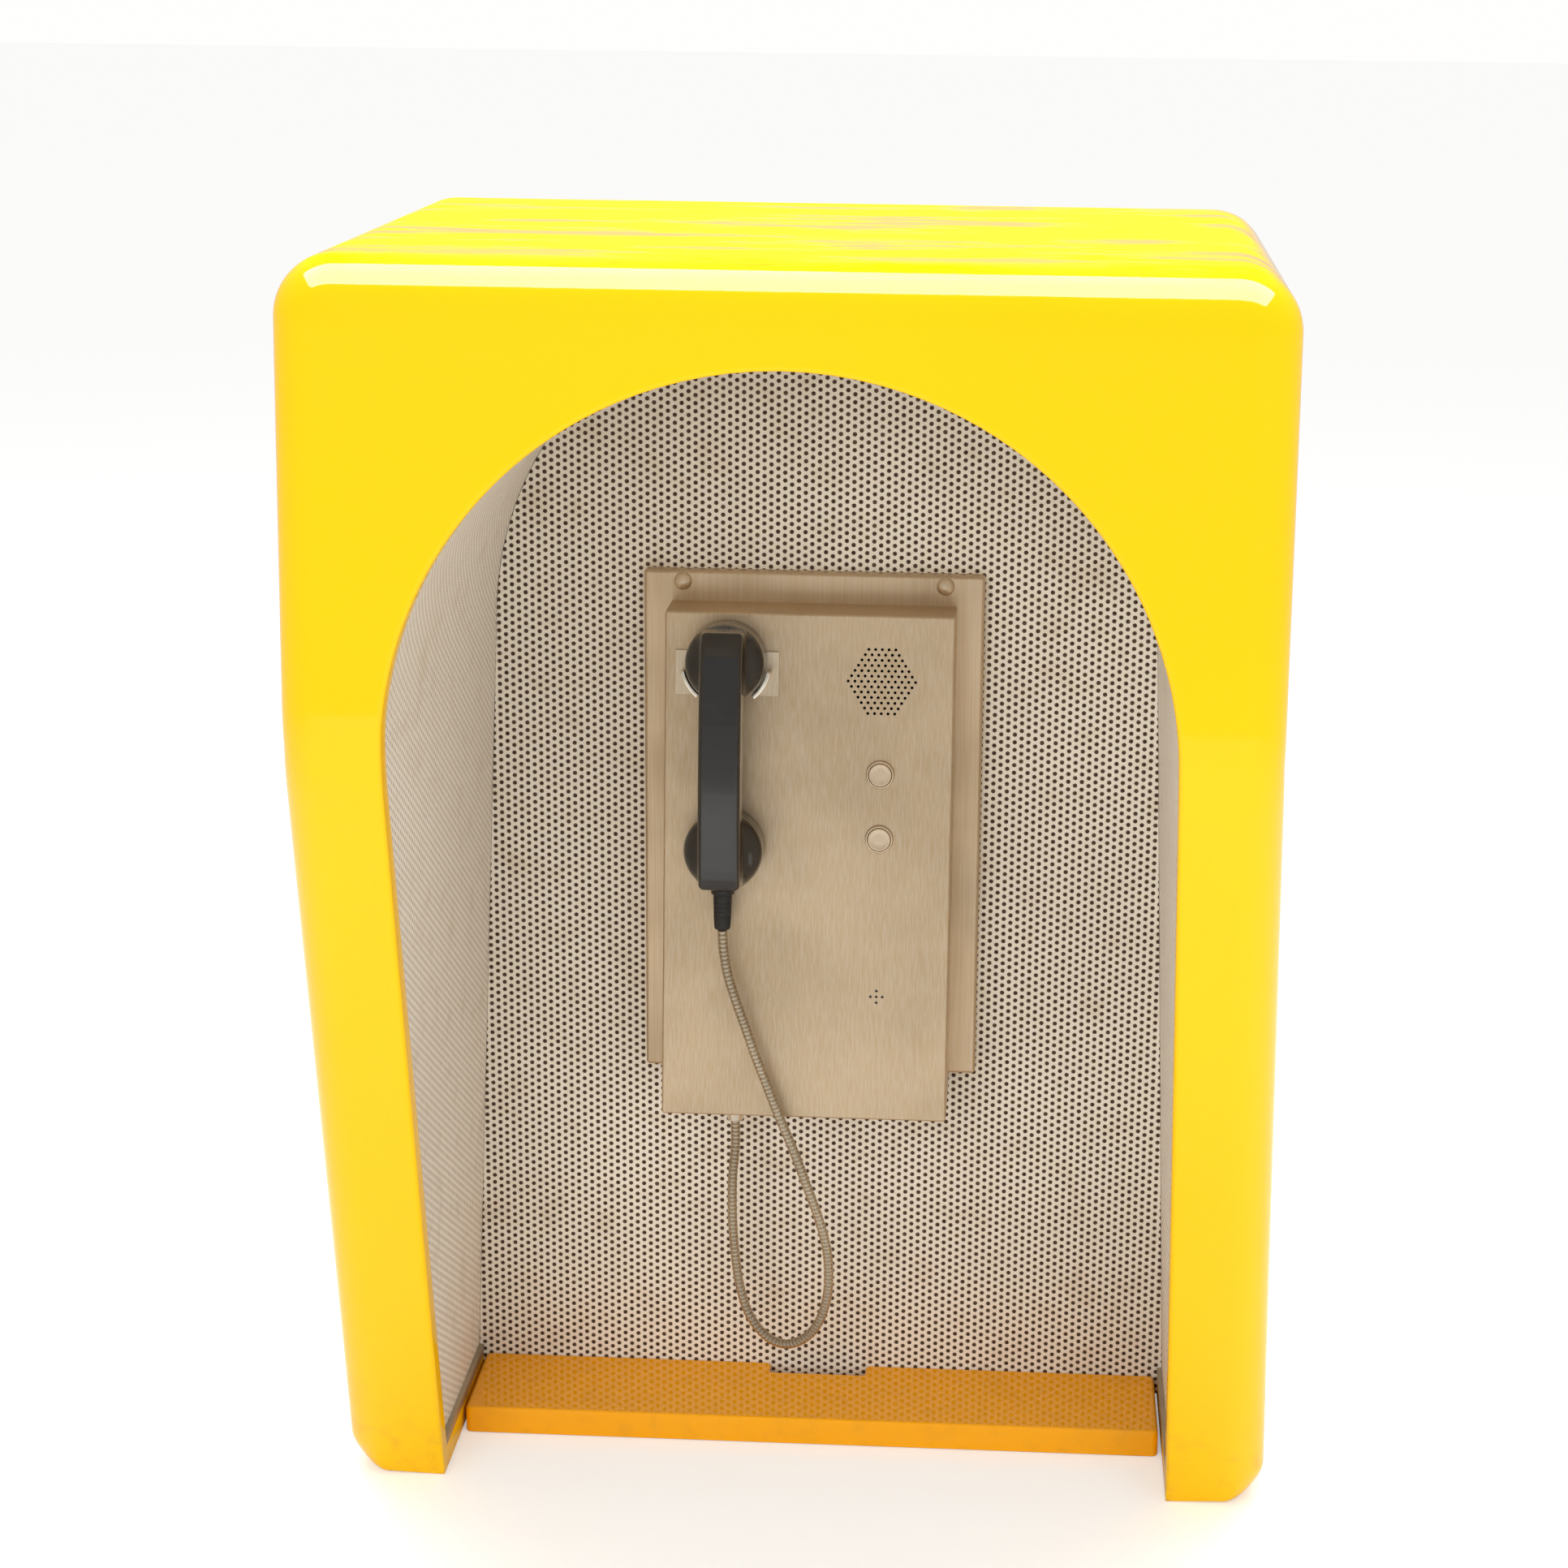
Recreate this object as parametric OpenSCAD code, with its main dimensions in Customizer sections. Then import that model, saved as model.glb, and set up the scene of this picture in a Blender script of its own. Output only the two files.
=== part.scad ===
// Wall-hung acoustic telephone hood with a steel help telephone inside.
// Millimetres. +Z is up, the open front faces -Y and the wall stands at +Y.
// The origin is the centre of the foot's outline box, on the floor.

/* [Hood] */
// Height of the hood
hood_h = 941; // [780:1:1200]
// Outer width of the front face above the bend
hood_w = 626; // [520:1:760]
// Outer width of the front face at the foot
foot_w = 680; // [600:1:820]
// Depth from the wall to the front face at the bend
hood_d = 495; // [400:1:600]
// Depth from the wall to the front face at the top
top_d = 481; // [390:1:580]
// Depth from the wall to the front face at the foot
foot_d = 213; // [175:1:300]
// Height of the bend across the front face
bend_z = 632; // [520:1:760]
// How much wider each side is at the wall, so that the moulding draws
draft = 10; // [0:1:20]
// Thickness of the moulded shell
shell_t = 5; // [4:0.5:7]
// Radius of the two top corners seen from the front
corner_r = 40; // [36:1:60]
// Radius that rolls the front face into the sides
edge_r = 28; // [15:1:28]
// Radius of the two lower outer corners
foot_r = 30; // [30:1:50]

/* [Opening] */
// Width of the front face beside the arch
cheek_w = 66; // [50:1:90]
// Height of the front face above the arch
crown_h = 65; // [50:1:100]
// Width of each leg at the foot
leg_w = 68; // [50:1:90]
// How far the lip turns back behind the front face
lip_d = 16; // [10:1:30]
// Thickness of the lip
lip_t = 4; // [2:0.5:6]
// Height of the upstand along the bottom of each leg
skirt_h = 20; // [12:1:30]

/* [Lining] */
// Distance from the wall to the face of the back lining
lining_gap = 45; // [35:1:70]
// Thickness of the perforated sheet
lining_t = 1.5; // [1:0.5:2]
// Thickness of the back board
board_t = 12; // [9:1:18]
// Height of the trim on the bottom edge of the side lining
trim_h = 8; // [5:1:12]
// Clearance between sheets, boards and wool
fit = 0.5; // [0.2:0.1:1]

/* [Wall bolts] */
// Distance between the bolts across
bolt_dx = 380; // [300:1:420]
// Distance between the bolts up
bolt_dz = 600; // [400:1:640]
// Height of the lower pair
bolt_z = 120; // [90:1:160]
// Radius of each bolt hole
bolt_r = 5.5; // [4:0.5:7]

/* [Shelf] */
// Depth of the shelf
shelf_d = 98; // [80:1:120]
// Height of the shelf
shelf_h = 21; // [19:1:40]
// Wall thickness of the shelf
shelf_t = 4; // [3:0.5:6]
// Gap at each end of the shelf
shelf_gap = 3; // [2:0.5:8]
// Width of the cable notch
notch_w = 76; // [40:1:120]
// Depth of the cable notch
notch_d = 17; // [10:1:30]

/* [Telephone] */
// Offset of the telephone from the centre line
phone_x = -8; // [-40:1:40]
// Height of the underside of the housing
phone_z = 263; // [220:1:300]
// Width of the housing
phone_w = 216; // [200:1:260]
// Height of the housing
phone_h = 384; // [360:1:460]
// Depth of the housing at the top, from the lining
phone_top_d = 52; // [48:1:70]
// Depth of the housing at the bottom, from the lining
phone_low_d = 84; // [70:1:100]
// Thickness of the steel sheet
steel_t = 2; // [1.5:0.5:3]
// Width of the back plate
plate_w = 257; // [250:1:320]
// Height of the back plate
plate_h = 394; // [380:1:460]
// Depth of the back plate's folded edge
plate_d = 12; // [8:1:16]
// How far the back plate rises above the housing
plate_rise = 23; // [20:1:35]
// Distance between the plate's screws across
screw_dx = 198; // [160:1:210]
// Radius of the plate's screws
screw_r = 3; // [2.5:0.5:4]

/* [Controls] */
// Offset of the right-hand controls from the telephone's centre line
control_x = 54; // [40:1:70]
// Height of the loudspeaker above the housing's underside
speaker_v = 336; // [320:1:345]
// Height of the upper button above the housing's underside
button_v = 266; // [240:1:280]
// Distance between the two buttons
button_step = 49; // [35:1:60]
// Height of the microphone above the housing's underside
mic_v = 96; // [70:1:150]
// Radius of a button cap
cap_r = 8.7; // [7:0.1:10]
// Travel of a button cap
cap_travel = 2; // [1:0.5:2.5]

/* [Handset] */
// Offset of the handset from the telephone's centre line
handset_x = -61; // [-70:1:-55]
// Height of the ear cup's centre above the housing's underside
ear_v = 350; // [335:1:360]
// Distance between the ear cup's and the mouth cup's centres
cup_step = 141; // [120:1:160]
// Radius of a cup
cup_r = 29.5; // [27:0.5:31]
// Width of the handle
handle_w = 31; // [24:1:36]

/* [Cord] */
// Diameter of the armoured cord
cord_d = 7.4; // [6:0.1:9]

/* [Hidden] */

$fn = 48;
far = 2000;                                  // longer than anything that is cut
wall_y = hood_d / 2;                         // plane of the wall
arch_r = hood_w / 2 - cheek_w;
arch_z = hood_h - crown_h - arch_r;
mouth_x = foot_w / 2 - leg_w;                // half width of the opening at the foot
// Lean of the opening's legs, so that they leave the arch on its tangent
leg_lean = acos(arch_r / norm([mouth_x, arch_z])) - atan2(arch_z, mouth_x);
lining_y = wall_y - lining_gap;              // face of the back lining
wool_t = lining_gap - board_t - lining_t;

// ---- Frame of the telephone's sloping front panel: x across, v up the slope, n outwards
panel_lean = atan((phone_low_d - phone_top_d) / phone_h);
plate_z = phone_z + phone_h + plate_rise - plate_h;
screw_low_z = plate_z + 26;
screw_high_z = plate_z + plate_h - 8;
handset_n = 4;                               // gap between the panel and the ear cap's rim
cap_t = 9;                                   // height of an ear or mouth cap
cup_t = 20;                                  // depth of a cup behind its cap
handle_n = 34;                               // back of the handle, from the panel
handle_t = 22;                               // thickness of the handle
boot_n = 20;                                 // axis of the boot, from the panel
boot_l = 27;                                 // length of the boot's sleeve
sleeve_r = 7;
collar_r = 8.7;
collar_t = 3;
seat_d = 1;                                  // how deep the collar is seated in the cup
gland_x = phone_x - 55;
gland_y = lining_y - 48;
gland_l = 16;

module on_panel(x, v, n = 0)
    translate([phone_x + x, lining_y - phone_low_d, phone_z])
        rotate([90 - panel_lean, 0, 0]) translate([0, v, n]) children();

module across(y0, y1)                        // extrudes an X-Z outline from y0 to y1
    translate([0, y1, 0]) rotate([90, 0, 0]) linear_extrude(y1 - y0) children();

module sideways(x0, x1)                      // extrudes a Y-Z outline from x0 to x1
    translate([x0, 0, 0]) rotate([90, 0, 90]) linear_extrude(x1 - x0) children();

module drill_y(x, z, r) translate([x, wall_y + far / 2, z]) rotate([90, 0, 0]) cylinder(r = r, h = far);

module plate_holes(r)
    for (sx = [-1, 1], z = [screw_low_z, screw_high_z]) drill_y(phone_x + sx * screw_dx / 2, z, r);

module wall_bolt_holes(r)
    for (sx = [-1, 1], k = [0, 1]) drill_y(sx * bolt_dx / 2, bolt_z + k * bolt_dz, r);

// ---- Hood outline -----------------------------------------------------------------
// Distance from the wall to the front face at a height
function face_d(z) = z > bend_z
    ? hood_d + (top_d - hood_d) * (z - bend_z) / (hood_h - bend_z)
    : foot_d + (hood_d - foot_d) * z / bend_z;

// Half width of the hood at a height
function side_x(z) = z > bend_z ? hood_w / 2 : foot_w / 2 + (hood_w - foot_w) / 2 * z / bend_z;

// Right half of the outline, set in by e, from the foot up to the roof, floor at z0
function half_outline(e, z0) = concat(
    [for (a = [-90:15:0]) [side_x(foot_r) - foot_r + (foot_r - e) * cos(a), foot_r + (foot_r - z0) * sin(a)]],
    [[side_x(bend_z) - e, bend_z]],
    [for (a = [0:10:90]) [hood_w / 2 - corner_r + (corner_r - e) * cos(a),
        hood_h - corner_r + (corner_r - e) * sin(a)]]);

function reversed(list) = [for (k = [len(list) - 1:-1:0]) list[k]];

function outline(e, z0) = let (half = half_outline(e, z0))
    concat(half, [for (p = reversed(half)) [-p[0], p[1]]]);

// One ring of the hood: the outline pushed out to a distance from the wall, or rolled by angle t
function wall_ring(inset, z0, d) = [for (p = outline(inset, z0))
    [p[0] + sign(p[0]) * draft, wall_y - d, p[1]]];
function edge_ring(inset, z0, r, t) = [for (p = outline(inset + r * (1 - cos(t)), z0))
    let (d = face_d(p[1]) - inset - r * (1 - sin(t)))
    [p[0] + sign(p[0]) * draft * (1 - d / hood_d), wall_y - d, p[1]]];

// Solid hood form, set in by a thickness, its floor at z0 and its back at distance d
module hood_form(inset, z0, d) {
    roll = edge_r - inset;
    rings = concat([wall_ring(inset, z0, d)], [for (t = [0:15:90]) edge_ring(inset, z0, roll, t)]);
    n = len(rings[0]);
    half = n / 2;
    last = (len(rings) - 1) * n;
    bend = 7;                                // index of the point on the bend, after the foot's arc
    sides = [for (k = [0:len(rings) - 2], i = [0:n - 1]) let (j = (i + 1) % n)
        each [[k * n + i, (k + 1) * n + i, k * n + j], [k * n + j, (k + 1) * n + i, (k + 1) * n + j]]];
    back = [[for (i = [0:n - 1]) i]];
    low_face = [[for (i = [n - 1:-1:n - 1 - bend]) last + i, for (i = [bend:-1:0]) last + i]];
    high_face = [[for (i = [n - 1 - bend:-1:bend]) last + i]];
    polyhedron([for (r = rings) each r], concat(sides, back, low_face, high_face), convexity = 4);
}

// ---- Opening: an arch on two leaning legs, grown by o, down to the height z0 ---------
function leg_x(o, z) = (arch_r + o + (arch_z - z) * sin(leg_lean)) / cos(leg_lean);
module arch(o, z0)
    polygon(concat([[leg_x(o, z0), z0]],
        [for (k = [0:36]) let (a = leg_lean + (180 - 2 * leg_lean) * k / 36)
            [(arch_r + o) * cos(a), arch_z + (arch_r + o) * sin(a)]],
        [[-leg_x(o, z0), z0]]));

module arch_band(o0, o1, z0, z1 = 0) difference() {
    arch(o1, z0);
    arch(o0, z0 - 1);
    if (z1 > 0) translate([-far / 2, z1]) square([far, far]);
}

// Room behind the front face, from distance d0 off the wall to d1 behind the face
module behind_face(d0, d1)
    sideways(-far / 2, far / 2) polygon([[wall_y - d0, -1], [wall_y - face_d(0) + d1, -1],
        [wall_y - face_d(0) + d1, 0], [wall_y - hood_d + d1, bend_z],
        [wall_y - top_d + d1, hood_h], [wall_y - d0, hood_h]]);

module hood_shell() {
    color("gold") {
        difference() {
            hood_form(0, 0, 0);
            hood_form(shell_t, shell_t, -1);
            across(-far / 2, far / 2) arch(0, -1);
        }
        intersection() {                     // lip that turns back behind the opening
            across(-far / 2, far / 2) arch_band(0, lip_t, 0);
            difference() {
                behind_face(0, shell_t - 1);
                behind_face(-1, lip_d);
            }
        }
        intersection() {                     // upstand along the bottom of each leg
            across(-far / 2, far / 2) arch_band(0, lip_t, 0, skirt_h);
            behind_face(lining_gap, shell_t - 1);
        }
    }
}

module back_board() {
    color("burlywood") difference() {
        across(wall_y - board_t, wall_y) board_outline();
        wall_bolt_holes(bolt_r);
        plate_holes(screw_r + 0.1);
        board_screw_places() cylinder(r = 2, h = 26);
    }
}

// The board is as wide as the shell is at its own front face, so that it slides in
module board_outline()
    polygon([for (p = outline(shell_t + fit, shell_t + fit))
        [p[0] + sign(p[0]) * draft * (1 - board_t / hood_d), p[1]]]);

// Screws through the shell's sides into the edge of the back board
module board_screw_places()
    for (sx = [-1, 1], z = [110, 330, 560, 800])
        translate([sx * (side_x(z) + draft * (1 - board_t / 2 / hood_d)), wall_y - board_t / 2, z])
            rotate([0, -sx * 90, 0]) children();

module board_screws() {
    color("silver") board_screw_places() translate([0, 0, shell_t + fit]) cylinder(r = 2, h = 18);
}

module wool_back() {
    color("khaki") difference() {
        across(wall_y - board_t - wool_t, wall_y - board_t) arch(lip_t - fit, shell_t + fit);
        wall_bolt_holes(bolt_r + 8);
        plate_holes(spacer_r + fit);
    }
}
spacer_r = 6;

// Wool between the shell and the side lining, in the part of the outline that a mask keeps
module wool_around(x0, x1, z0, z1) {
    room = shell_t + fit;
    color("khaki") intersection() {
        across(-far / 2, far / 2) intersection() {
            difference() {
                polygon(outline(room, room));
                arch(lip_t + lining_t + fit, -1);
            }
            translate([x0, z0]) square([x1 - x0, z1 - z0]);
        }
        behind_face(board_t + fit, shell_t + edge_r);
    }
}
module wool_left() wool_around(-far / 2, 0, 0, arch_z);
module wool_right() wool_around(0, far / 2, 0, arch_z);
module wool_crown_left() wool_around(-far / 2, -fit / 2, arch_z + fit, hood_h);
module wool_crown_right() wool_around(fit / 2, far / 2, arch_z + fit, hood_h);

module lining_back() {
    color("linen") difference() {
        across(lining_y, lining_y + lining_t) arch(lip_t - fit / 2, shell_t + fit);
        plate_holes(screw_r + 0.3);
    }
}

module lining_wrap() {
    color("linen") intersection() {
        across(-far / 2, far / 2) arch_band(lip_t, lip_t + lining_t, shell_t + fit);
        behind_face(board_t + fit, shell_t + fit);
    }
}

module lining_trims() {
    color("silver") intersection() {
        across(-far / 2, far / 2) arch_band(0, lip_t, skirt_h, skirt_h + trim_h);
        behind_face(lining_gap, lip_d);
    }
}

// ---- Shelf ------------------------------------------------------------------------
shelf_x = leg_x(0, shelf_h / 2) - shelf_gap;
module shelf_block(inset, z0, z1, y1)
    translate([-shelf_x + inset, lining_y - shelf_d + inset, z0])
        cube([2 * (shelf_x - inset), shelf_d - inset + y1, z1 - z0]);

module shelf() {
    color("orange") difference() {
        shelf_block(0, 0, shelf_h, 0);
        shelf_block(shelf_t, -1, shelf_h - shelf_t, 1);
        translate([-notch_w / 2, lining_y - notch_d, -1]) cube([notch_w, notch_d + 1, shelf_h + 2]);
        shelf_screw_places() cylinder(r = 2.1, h = shelf_t + 2);
    }
}

bracket_w = 30;
bracket_t = 3;
bracket_l = 60;
bracket_x = 180;
module shelf_screw_places()
    for (sx = [-1, 1], y = [18, 48])
        translate([sx * bracket_x, lining_y - y, shelf_h - shelf_t - bracket_t]) children();

module shelf_brackets() {
    top = shelf_h - shelf_t;
    color("silver") for (sx = [-1, 1]) difference() {
        translate([sx * bracket_x - bracket_w / 2, 0, 0]) sideways(0, bracket_w)
            polygon([[lining_y, 2], [lining_y, top], [lining_y - bracket_l, top],
                [lining_y - bracket_l, top - bracket_t], [lining_y - bracket_t, top - bracket_t],
                [lining_y - bracket_t, 2]]);
        shelf_screw_places() translate([0, 0, -1]) cylinder(r = 2.1, h = bracket_t + 2);
    }
}

module shelf_screws() {
    color("silver") shelf_screw_places() {
        translate([0, 0, -2]) cylinder(r = 4, h = 2);
        cylinder(r = 2, h = bracket_t + shelf_t - 1);
    }
}

// ---- Telephone: plate and housing ---------------------------------------------------
module plate_spacers() {
    color("silver") difference() {
        for (sx = [-1, 1], z = [screw_low_z, screw_high_z])
            translate([phone_x + sx * screw_dx / 2, lining_y + lining_t + wool_t, z])
                rotate([90, 0, 0]) cylinder(r = spacer_r, h = wool_t);
        plate_holes(screw_r + 0.3);
    }
}

// Two screws up through the housing's underside into the plate's lugs
lug_d = 22;
lug_t = 4;
lug_rise = 4;
module housing_screw_places()
    for (sx = [-1, 1]) translate([phone_x + sx * 80, lining_y - plate_d - 14, phone_z]) children();

module phone_back_plate() {
    color("tan") difference() {
        translate([phone_x - plate_w / 2, lining_y - plate_d, plate_z]) cube([plate_w, plate_d, plate_h]);
        translate([phone_x - plate_w / 2 + steel_t, lining_y - plate_d + steel_t, plate_z + steel_t])
            cube([plate_w - 2 * steel_t, plate_d, plate_h - 2 * steel_t]);
        plate_holes(screw_r + 0.3);
        standoff_places() translate([0, 0, -5]) cylinder(r = 1.5, h = 12);
    }
    color("tan") difference() {
        for (sx = [-1, 1]) translate([phone_x + sx * 80 - 10, lining_y - plate_d - lug_d, plate_z + lug_rise])
            cube([20, lug_d, lug_t]);
        housing_screw_places() cylinder(r = 2.1, h = far);
    }
}

module plate_screws() {
    color("silver") for (sx = [-1, 1], z = [screw_low_z, screw_high_z])
        translate([phone_x + sx * screw_dx / 2, lining_y - plate_d, z]) rotate([90, 0, 0]) {
            rotate_extrude() polygon(concat([[0, 0]], [for (a = [0:15:90]) [6.7 * cos(a), 4 * sin(a)]]));
            translate([0, 0, -plate_d - lining_gap + 1]) cylinder(r = screw_r, h = plate_d + lining_gap - 1);
        }
}

// Side outline of the housing, set in by a thickness at right angles to each face
function panel_y(v, inset) = lining_y - phone_low_d + v * tan(panel_lean) + inset / cos(panel_lean);
module housing_outline(inset, rear)
    polygon([[lining_y - rear, phone_z + inset], [lining_y - rear, phone_z + phone_h - inset],
        [panel_y(phone_h - inset, inset), phone_z + phone_h - inset],
        [panel_y(inset, inset), phone_z + inset]]);

module phone_housing() {
    color("tan") difference() {
        sideways(phone_x - phone_w / 2, phone_x + phone_w / 2) housing_outline(0, plate_d);
        sideways(phone_x - phone_w / 2 + steel_t, phone_x + phone_w / 2 - steel_t) {
            housing_outline(steel_t, plate_d + steel_t);
            translate([lining_y - plate_d - steel_t - 1, plate_z + steel_t])
                square([steel_t + 2, phone_z + phone_h - steel_t - plate_z - steel_t]);
        }
        speaker_holes();
        mic_holes();
        for (k = [0, 1]) on_panel(control_x, button_v - k * button_step, -steel_t - 1)
            cylinder(r = barrel_r + 0.1, h = steel_t + 2);
        on_panel(handset_x, ear_v, -steel_t - 1) lever_slot();
        translate([gland_x, gland_y, phone_z - 1]) cylinder(r = 6, h = steel_t + 2);
        housing_screw_places() cylinder(r = 2.2, h = 8, center = true);
    }
}

module housing_screws() {
    color("silver") housing_screw_places() {
        translate([0, 0, -2.5]) cylinder(r = 3.8, h = 2.5);
        cylinder(r = 2, h = plate_z + lug_rise + lug_t - phone_z + 2);
    }
}

// Speaker holes: a hexagon of 13 staggered rows, 11 holes in the middle row
hole_dx = 5;
hole_dv = 4;
hole_r = 1.15;
module speaker_holes()
    for (row = [-6:6]) {
        count = 11 - abs(row);
        for (k = [0:count - 1])
            on_panel(control_x, speaker_v, -steel_t - 1) translate([(k - (count - 1) / 2) * hole_dx, row * hole_dv, 0])
                cylinder(r = hole_r, h = steel_t + 2, $fn = 16);
    }

module mic_holes()
    for (p = [[0, 0], [4.5, 0], [-4.5, 0], [0, 4.5], [0, -4.5]])
        on_panel(control_x, mic_v, -steel_t - 1) translate([p[0], p[1], 0])
            cylinder(r = 1.1, h = steel_t + 2, $fn = 16);

// ---- Speaker and microphone -----------------------------------------------------------
speaker_r = 38;
flange_t = 2;                                // the speaker's flange, on a gasket 2 thick
module speaker_gasket() {
    color("dimgray") on_panel(control_x, speaker_v, -steel_t - 2) difference() {
        cylinder(r = speaker_r, h = 2);
        translate([0, 0, -1]) cylinder(r = speaker_r - 7, h = 4);
    }
}

module speaker() {
    color("gray") on_panel(control_x, speaker_v, -steel_t - 2) rotate([180, 0, 0]) rotate_extrude()
        polygon([[0, 9], [8, 9], [speaker_r - 8, 1.5], [speaker_r - 6, 0], [speaker_r, 0], [speaker_r, flange_t],
            [speaker_r - 5, flange_t], [20, 12], [20, 14], [18, 14], [18, 24], [0, 24]]);
}

module speaker_studs() {
    color("silver") for (a = [45:90:315])
        on_panel(control_x, speaker_v, -steel_t - 8) rotate([0, 0, a]) translate([speaker_r + 2.2, 0, 0]) {
            cylinder(r = 2, h = 8);
            translate([0, 0, 8 - 2 - flange_t - 2.5]) cylinder(r = 3.6, h = 2.5, $fn = 6);
        }
}

module mic_holder() {
    color("black") on_panel(control_x, mic_v, -steel_t - 9) difference() {
        cylinder(r = 9, h = 9);
        translate([0, 0, 3]) cylinder(r = 6.2, h = 7);
    }
}

module mic_capsule() {
    color("silver") on_panel(control_x, mic_v, -steel_t - 6) cylinder(r = 6, h = 5);
}

// ---- Buttons ------------------------------------------------------------------------
barrel_r = 9.6;
bezel_r = 10.6;
bezel_t = 2;
stem_r = 4;
module at_button(k) on_panel(control_x, button_v - k * button_step) children();

module button_cap(k) {
    color("gainsboro") at_button(k) {
        rotate_extrude() polygon([[0, 0.6], [cap_r, 0.6], [cap_r, 2.2], [cap_r - 0.6, 2.8], [0, 2.8]]);
        translate([0, 0, -14]) cylinder(r = stem_r, h = 15);
    }
}
module upper_button_cap() button_cap(0);
module lower_button_cap() button_cap(1);

module button_barrels() {
    color("silver") for (k = [0, 1]) at_button(k) rotate_extrude()
        polygon([[cap_r + 0.2, bezel_t], [bezel_r - 0.5, bezel_t], [bezel_r, bezel_t - 0.5], [bezel_r, 0],
            [barrel_r, 0], [barrel_r, -24], [stem_r + 0.2, -24], [stem_r + 0.2, -cap_travel - 0.4],
            [cap_r + 0.2, -cap_travel - 0.4]]);
}

module button_nuts() {
    color("silver") for (k = [0, 1]) at_button(k) translate([0, 0, -steel_t - 4]) difference() {
        cylinder(r = 13.5, h = 4, $fn = 6);
        translate([0, 0, -1]) cylinder(r = barrel_r, h = 6);
    }
}

module button_switches() {
    color("black") for (k = [0, 1]) at_button(k) translate([0, 0, -34]) {
        cylinder(r = 8, h = 10);
        for (sx = [-1, 1]) translate([sx * 4 - 1.2, -0.4, -4]) cube([2.4, 0.8, 4]);
    }
}

// ---- Electronics on the back plate --------------------------------------------------------
pcb_x = -58;                                 // centre of the board from the telephone's centre line
pcb_w = 84;
pcb_h = 130;
pcb_z = 60;                                  // underside of the board above the housing's
standoff_l = 14;
module standoff_places()
    for (sx = [-1, 1], k = [0, 1])
        translate([phone_x + pcb_x + sx * (pcb_w / 2 - 6), lining_y - plate_d,
            phone_z + pcb_z + 6 + k * (pcb_h - 12)]) rotate([90, 0, 0]) children();

module circuit_board() {
    color("darkgreen") difference() {
        translate([phone_x + pcb_x - pcb_w / 2, lining_y - plate_d - standoff_l - 1.6, phone_z + pcb_z])
            cube([pcb_w, 1.6, pcb_h]);
        standoff_places() cylinder(r = 1.6, h = standoff_l + 5);
    }
}

module board_standoffs() {
    color("silver") standoff_places() {
        cylinder(r = 3.5, h = standoff_l, $fn = 6);
        cylinder(r = 1.5, h = standoff_l + 3);
        translate([0, 0, -4]) cylinder(r = 1.5, h = 5);
    }
}

module on_board(x, z) translate([phone_x + pcb_x + x, lining_y - plate_d - standoff_l - 1.6, phone_z + pcb_z + z])
    rotate([90, 0, 0]) children();

module transformer() {
    color("dimgray") on_board(14, 88) translate([-16, -14, 0]) cube([32, 28, 20]);
}

module terminal_block() {
    color("seagreen") on_board(0, 14) difference() {
        translate([-24, -5, 0]) cube([48, 10, 12]);
        for (k = [-2:2]) translate([k * 9, 0, 6]) cylinder(r = 2.4, h = 8);
    }
}

// ---- Cradle and hook switch ----------------------------------------------------------------
cradle_w = 77;
cradle_h = 33;
cradle_t = 2;
cradle_drop = 10;                            // the plate's centre below the ear cup's
horn_r = cup_r + 1.5;
horn_t = 3.5;
horn_l = 16;
slot_w = 10;
slot_h = 16;
lever_drop = 6;                              // the lever's slot below the ear cup's centre
module lever_slot() translate([-slot_w / 2, -lever_drop - slot_h / 2, 0]) cube([slot_w, slot_h, steel_t + cradle_t + 2]);

module cradle_plate() {
    color("silver") difference() {
        on_panel(handset_x, ear_v - cradle_drop) translate([-cradle_w / 2, -cradle_h / 2, 0])
            cube([cradle_w, cradle_h, cradle_t]);
        on_panel(handset_x, ear_v, -1) lever_slot();
    }
}

module cradle_horns() {
    color("white") on_panel(handset_x, ear_v, cradle_t) for (sx = [0, 1]) mirror([sx, 0, 0])
        linear_extrude(horn_l) polygon(concat(
            [for (a = [-12:-5:-52]) horn_r * [cos(a), sin(a)]],
            [for (a = [-52:5:-12]) (horn_r + horn_t) * [cos(a), sin(a)]]));
}

hinge_v = -30;                               // hinge pin below the ear cup's centre
hinge_n = -14;                               // hinge pin behind the panel's face
pin_r = 1.5;
module hook_bracket() {
    color("silver") on_panel(handset_x, ear_v + hinge_v) for (sx = [-1, 1]) difference() {
        translate([sx * 9 - 1, -8, hinge_n - 12]) cube([2, 36, -steel_t - hinge_n + 12]);
        translate([sx * 9 - 2, 0, hinge_n]) rotate([0, 90, 0]) cylinder(r = pin_r, h = 4);
    }
}

module hook_pin() {
    color("silver") on_panel(handset_x, ear_v + hinge_v, hinge_n) rotate([0, 90, 0])
        translate([0, 0, -12]) cylinder(r = pin_r, h = 24);
}

module hook_lever() {
    color("silver") on_panel(handset_x, ear_v + hinge_v, hinge_n) difference() {
        union() {
            rotate([0, 90, 0]) translate([0, 0, -7]) cylinder(r = 4, h = 14);
            translate([-3, 0, -2]) cube([6, 26, 4]);
            translate([-3, 22, -2]) cube([6, 4, -hinge_n + cradle_t + 2.8]);
        }
        rotate([0, 90, 0]) translate([0, 0, -8]) cylinder(r = pin_r + 0.05, h = 16);
    }
}

module hook_switch() {
    color("black") on_panel(handset_x, ear_v + hinge_v) translate([-8, 12, hinge_n - 12]) cube([16, 14, 8]);
}

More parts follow.
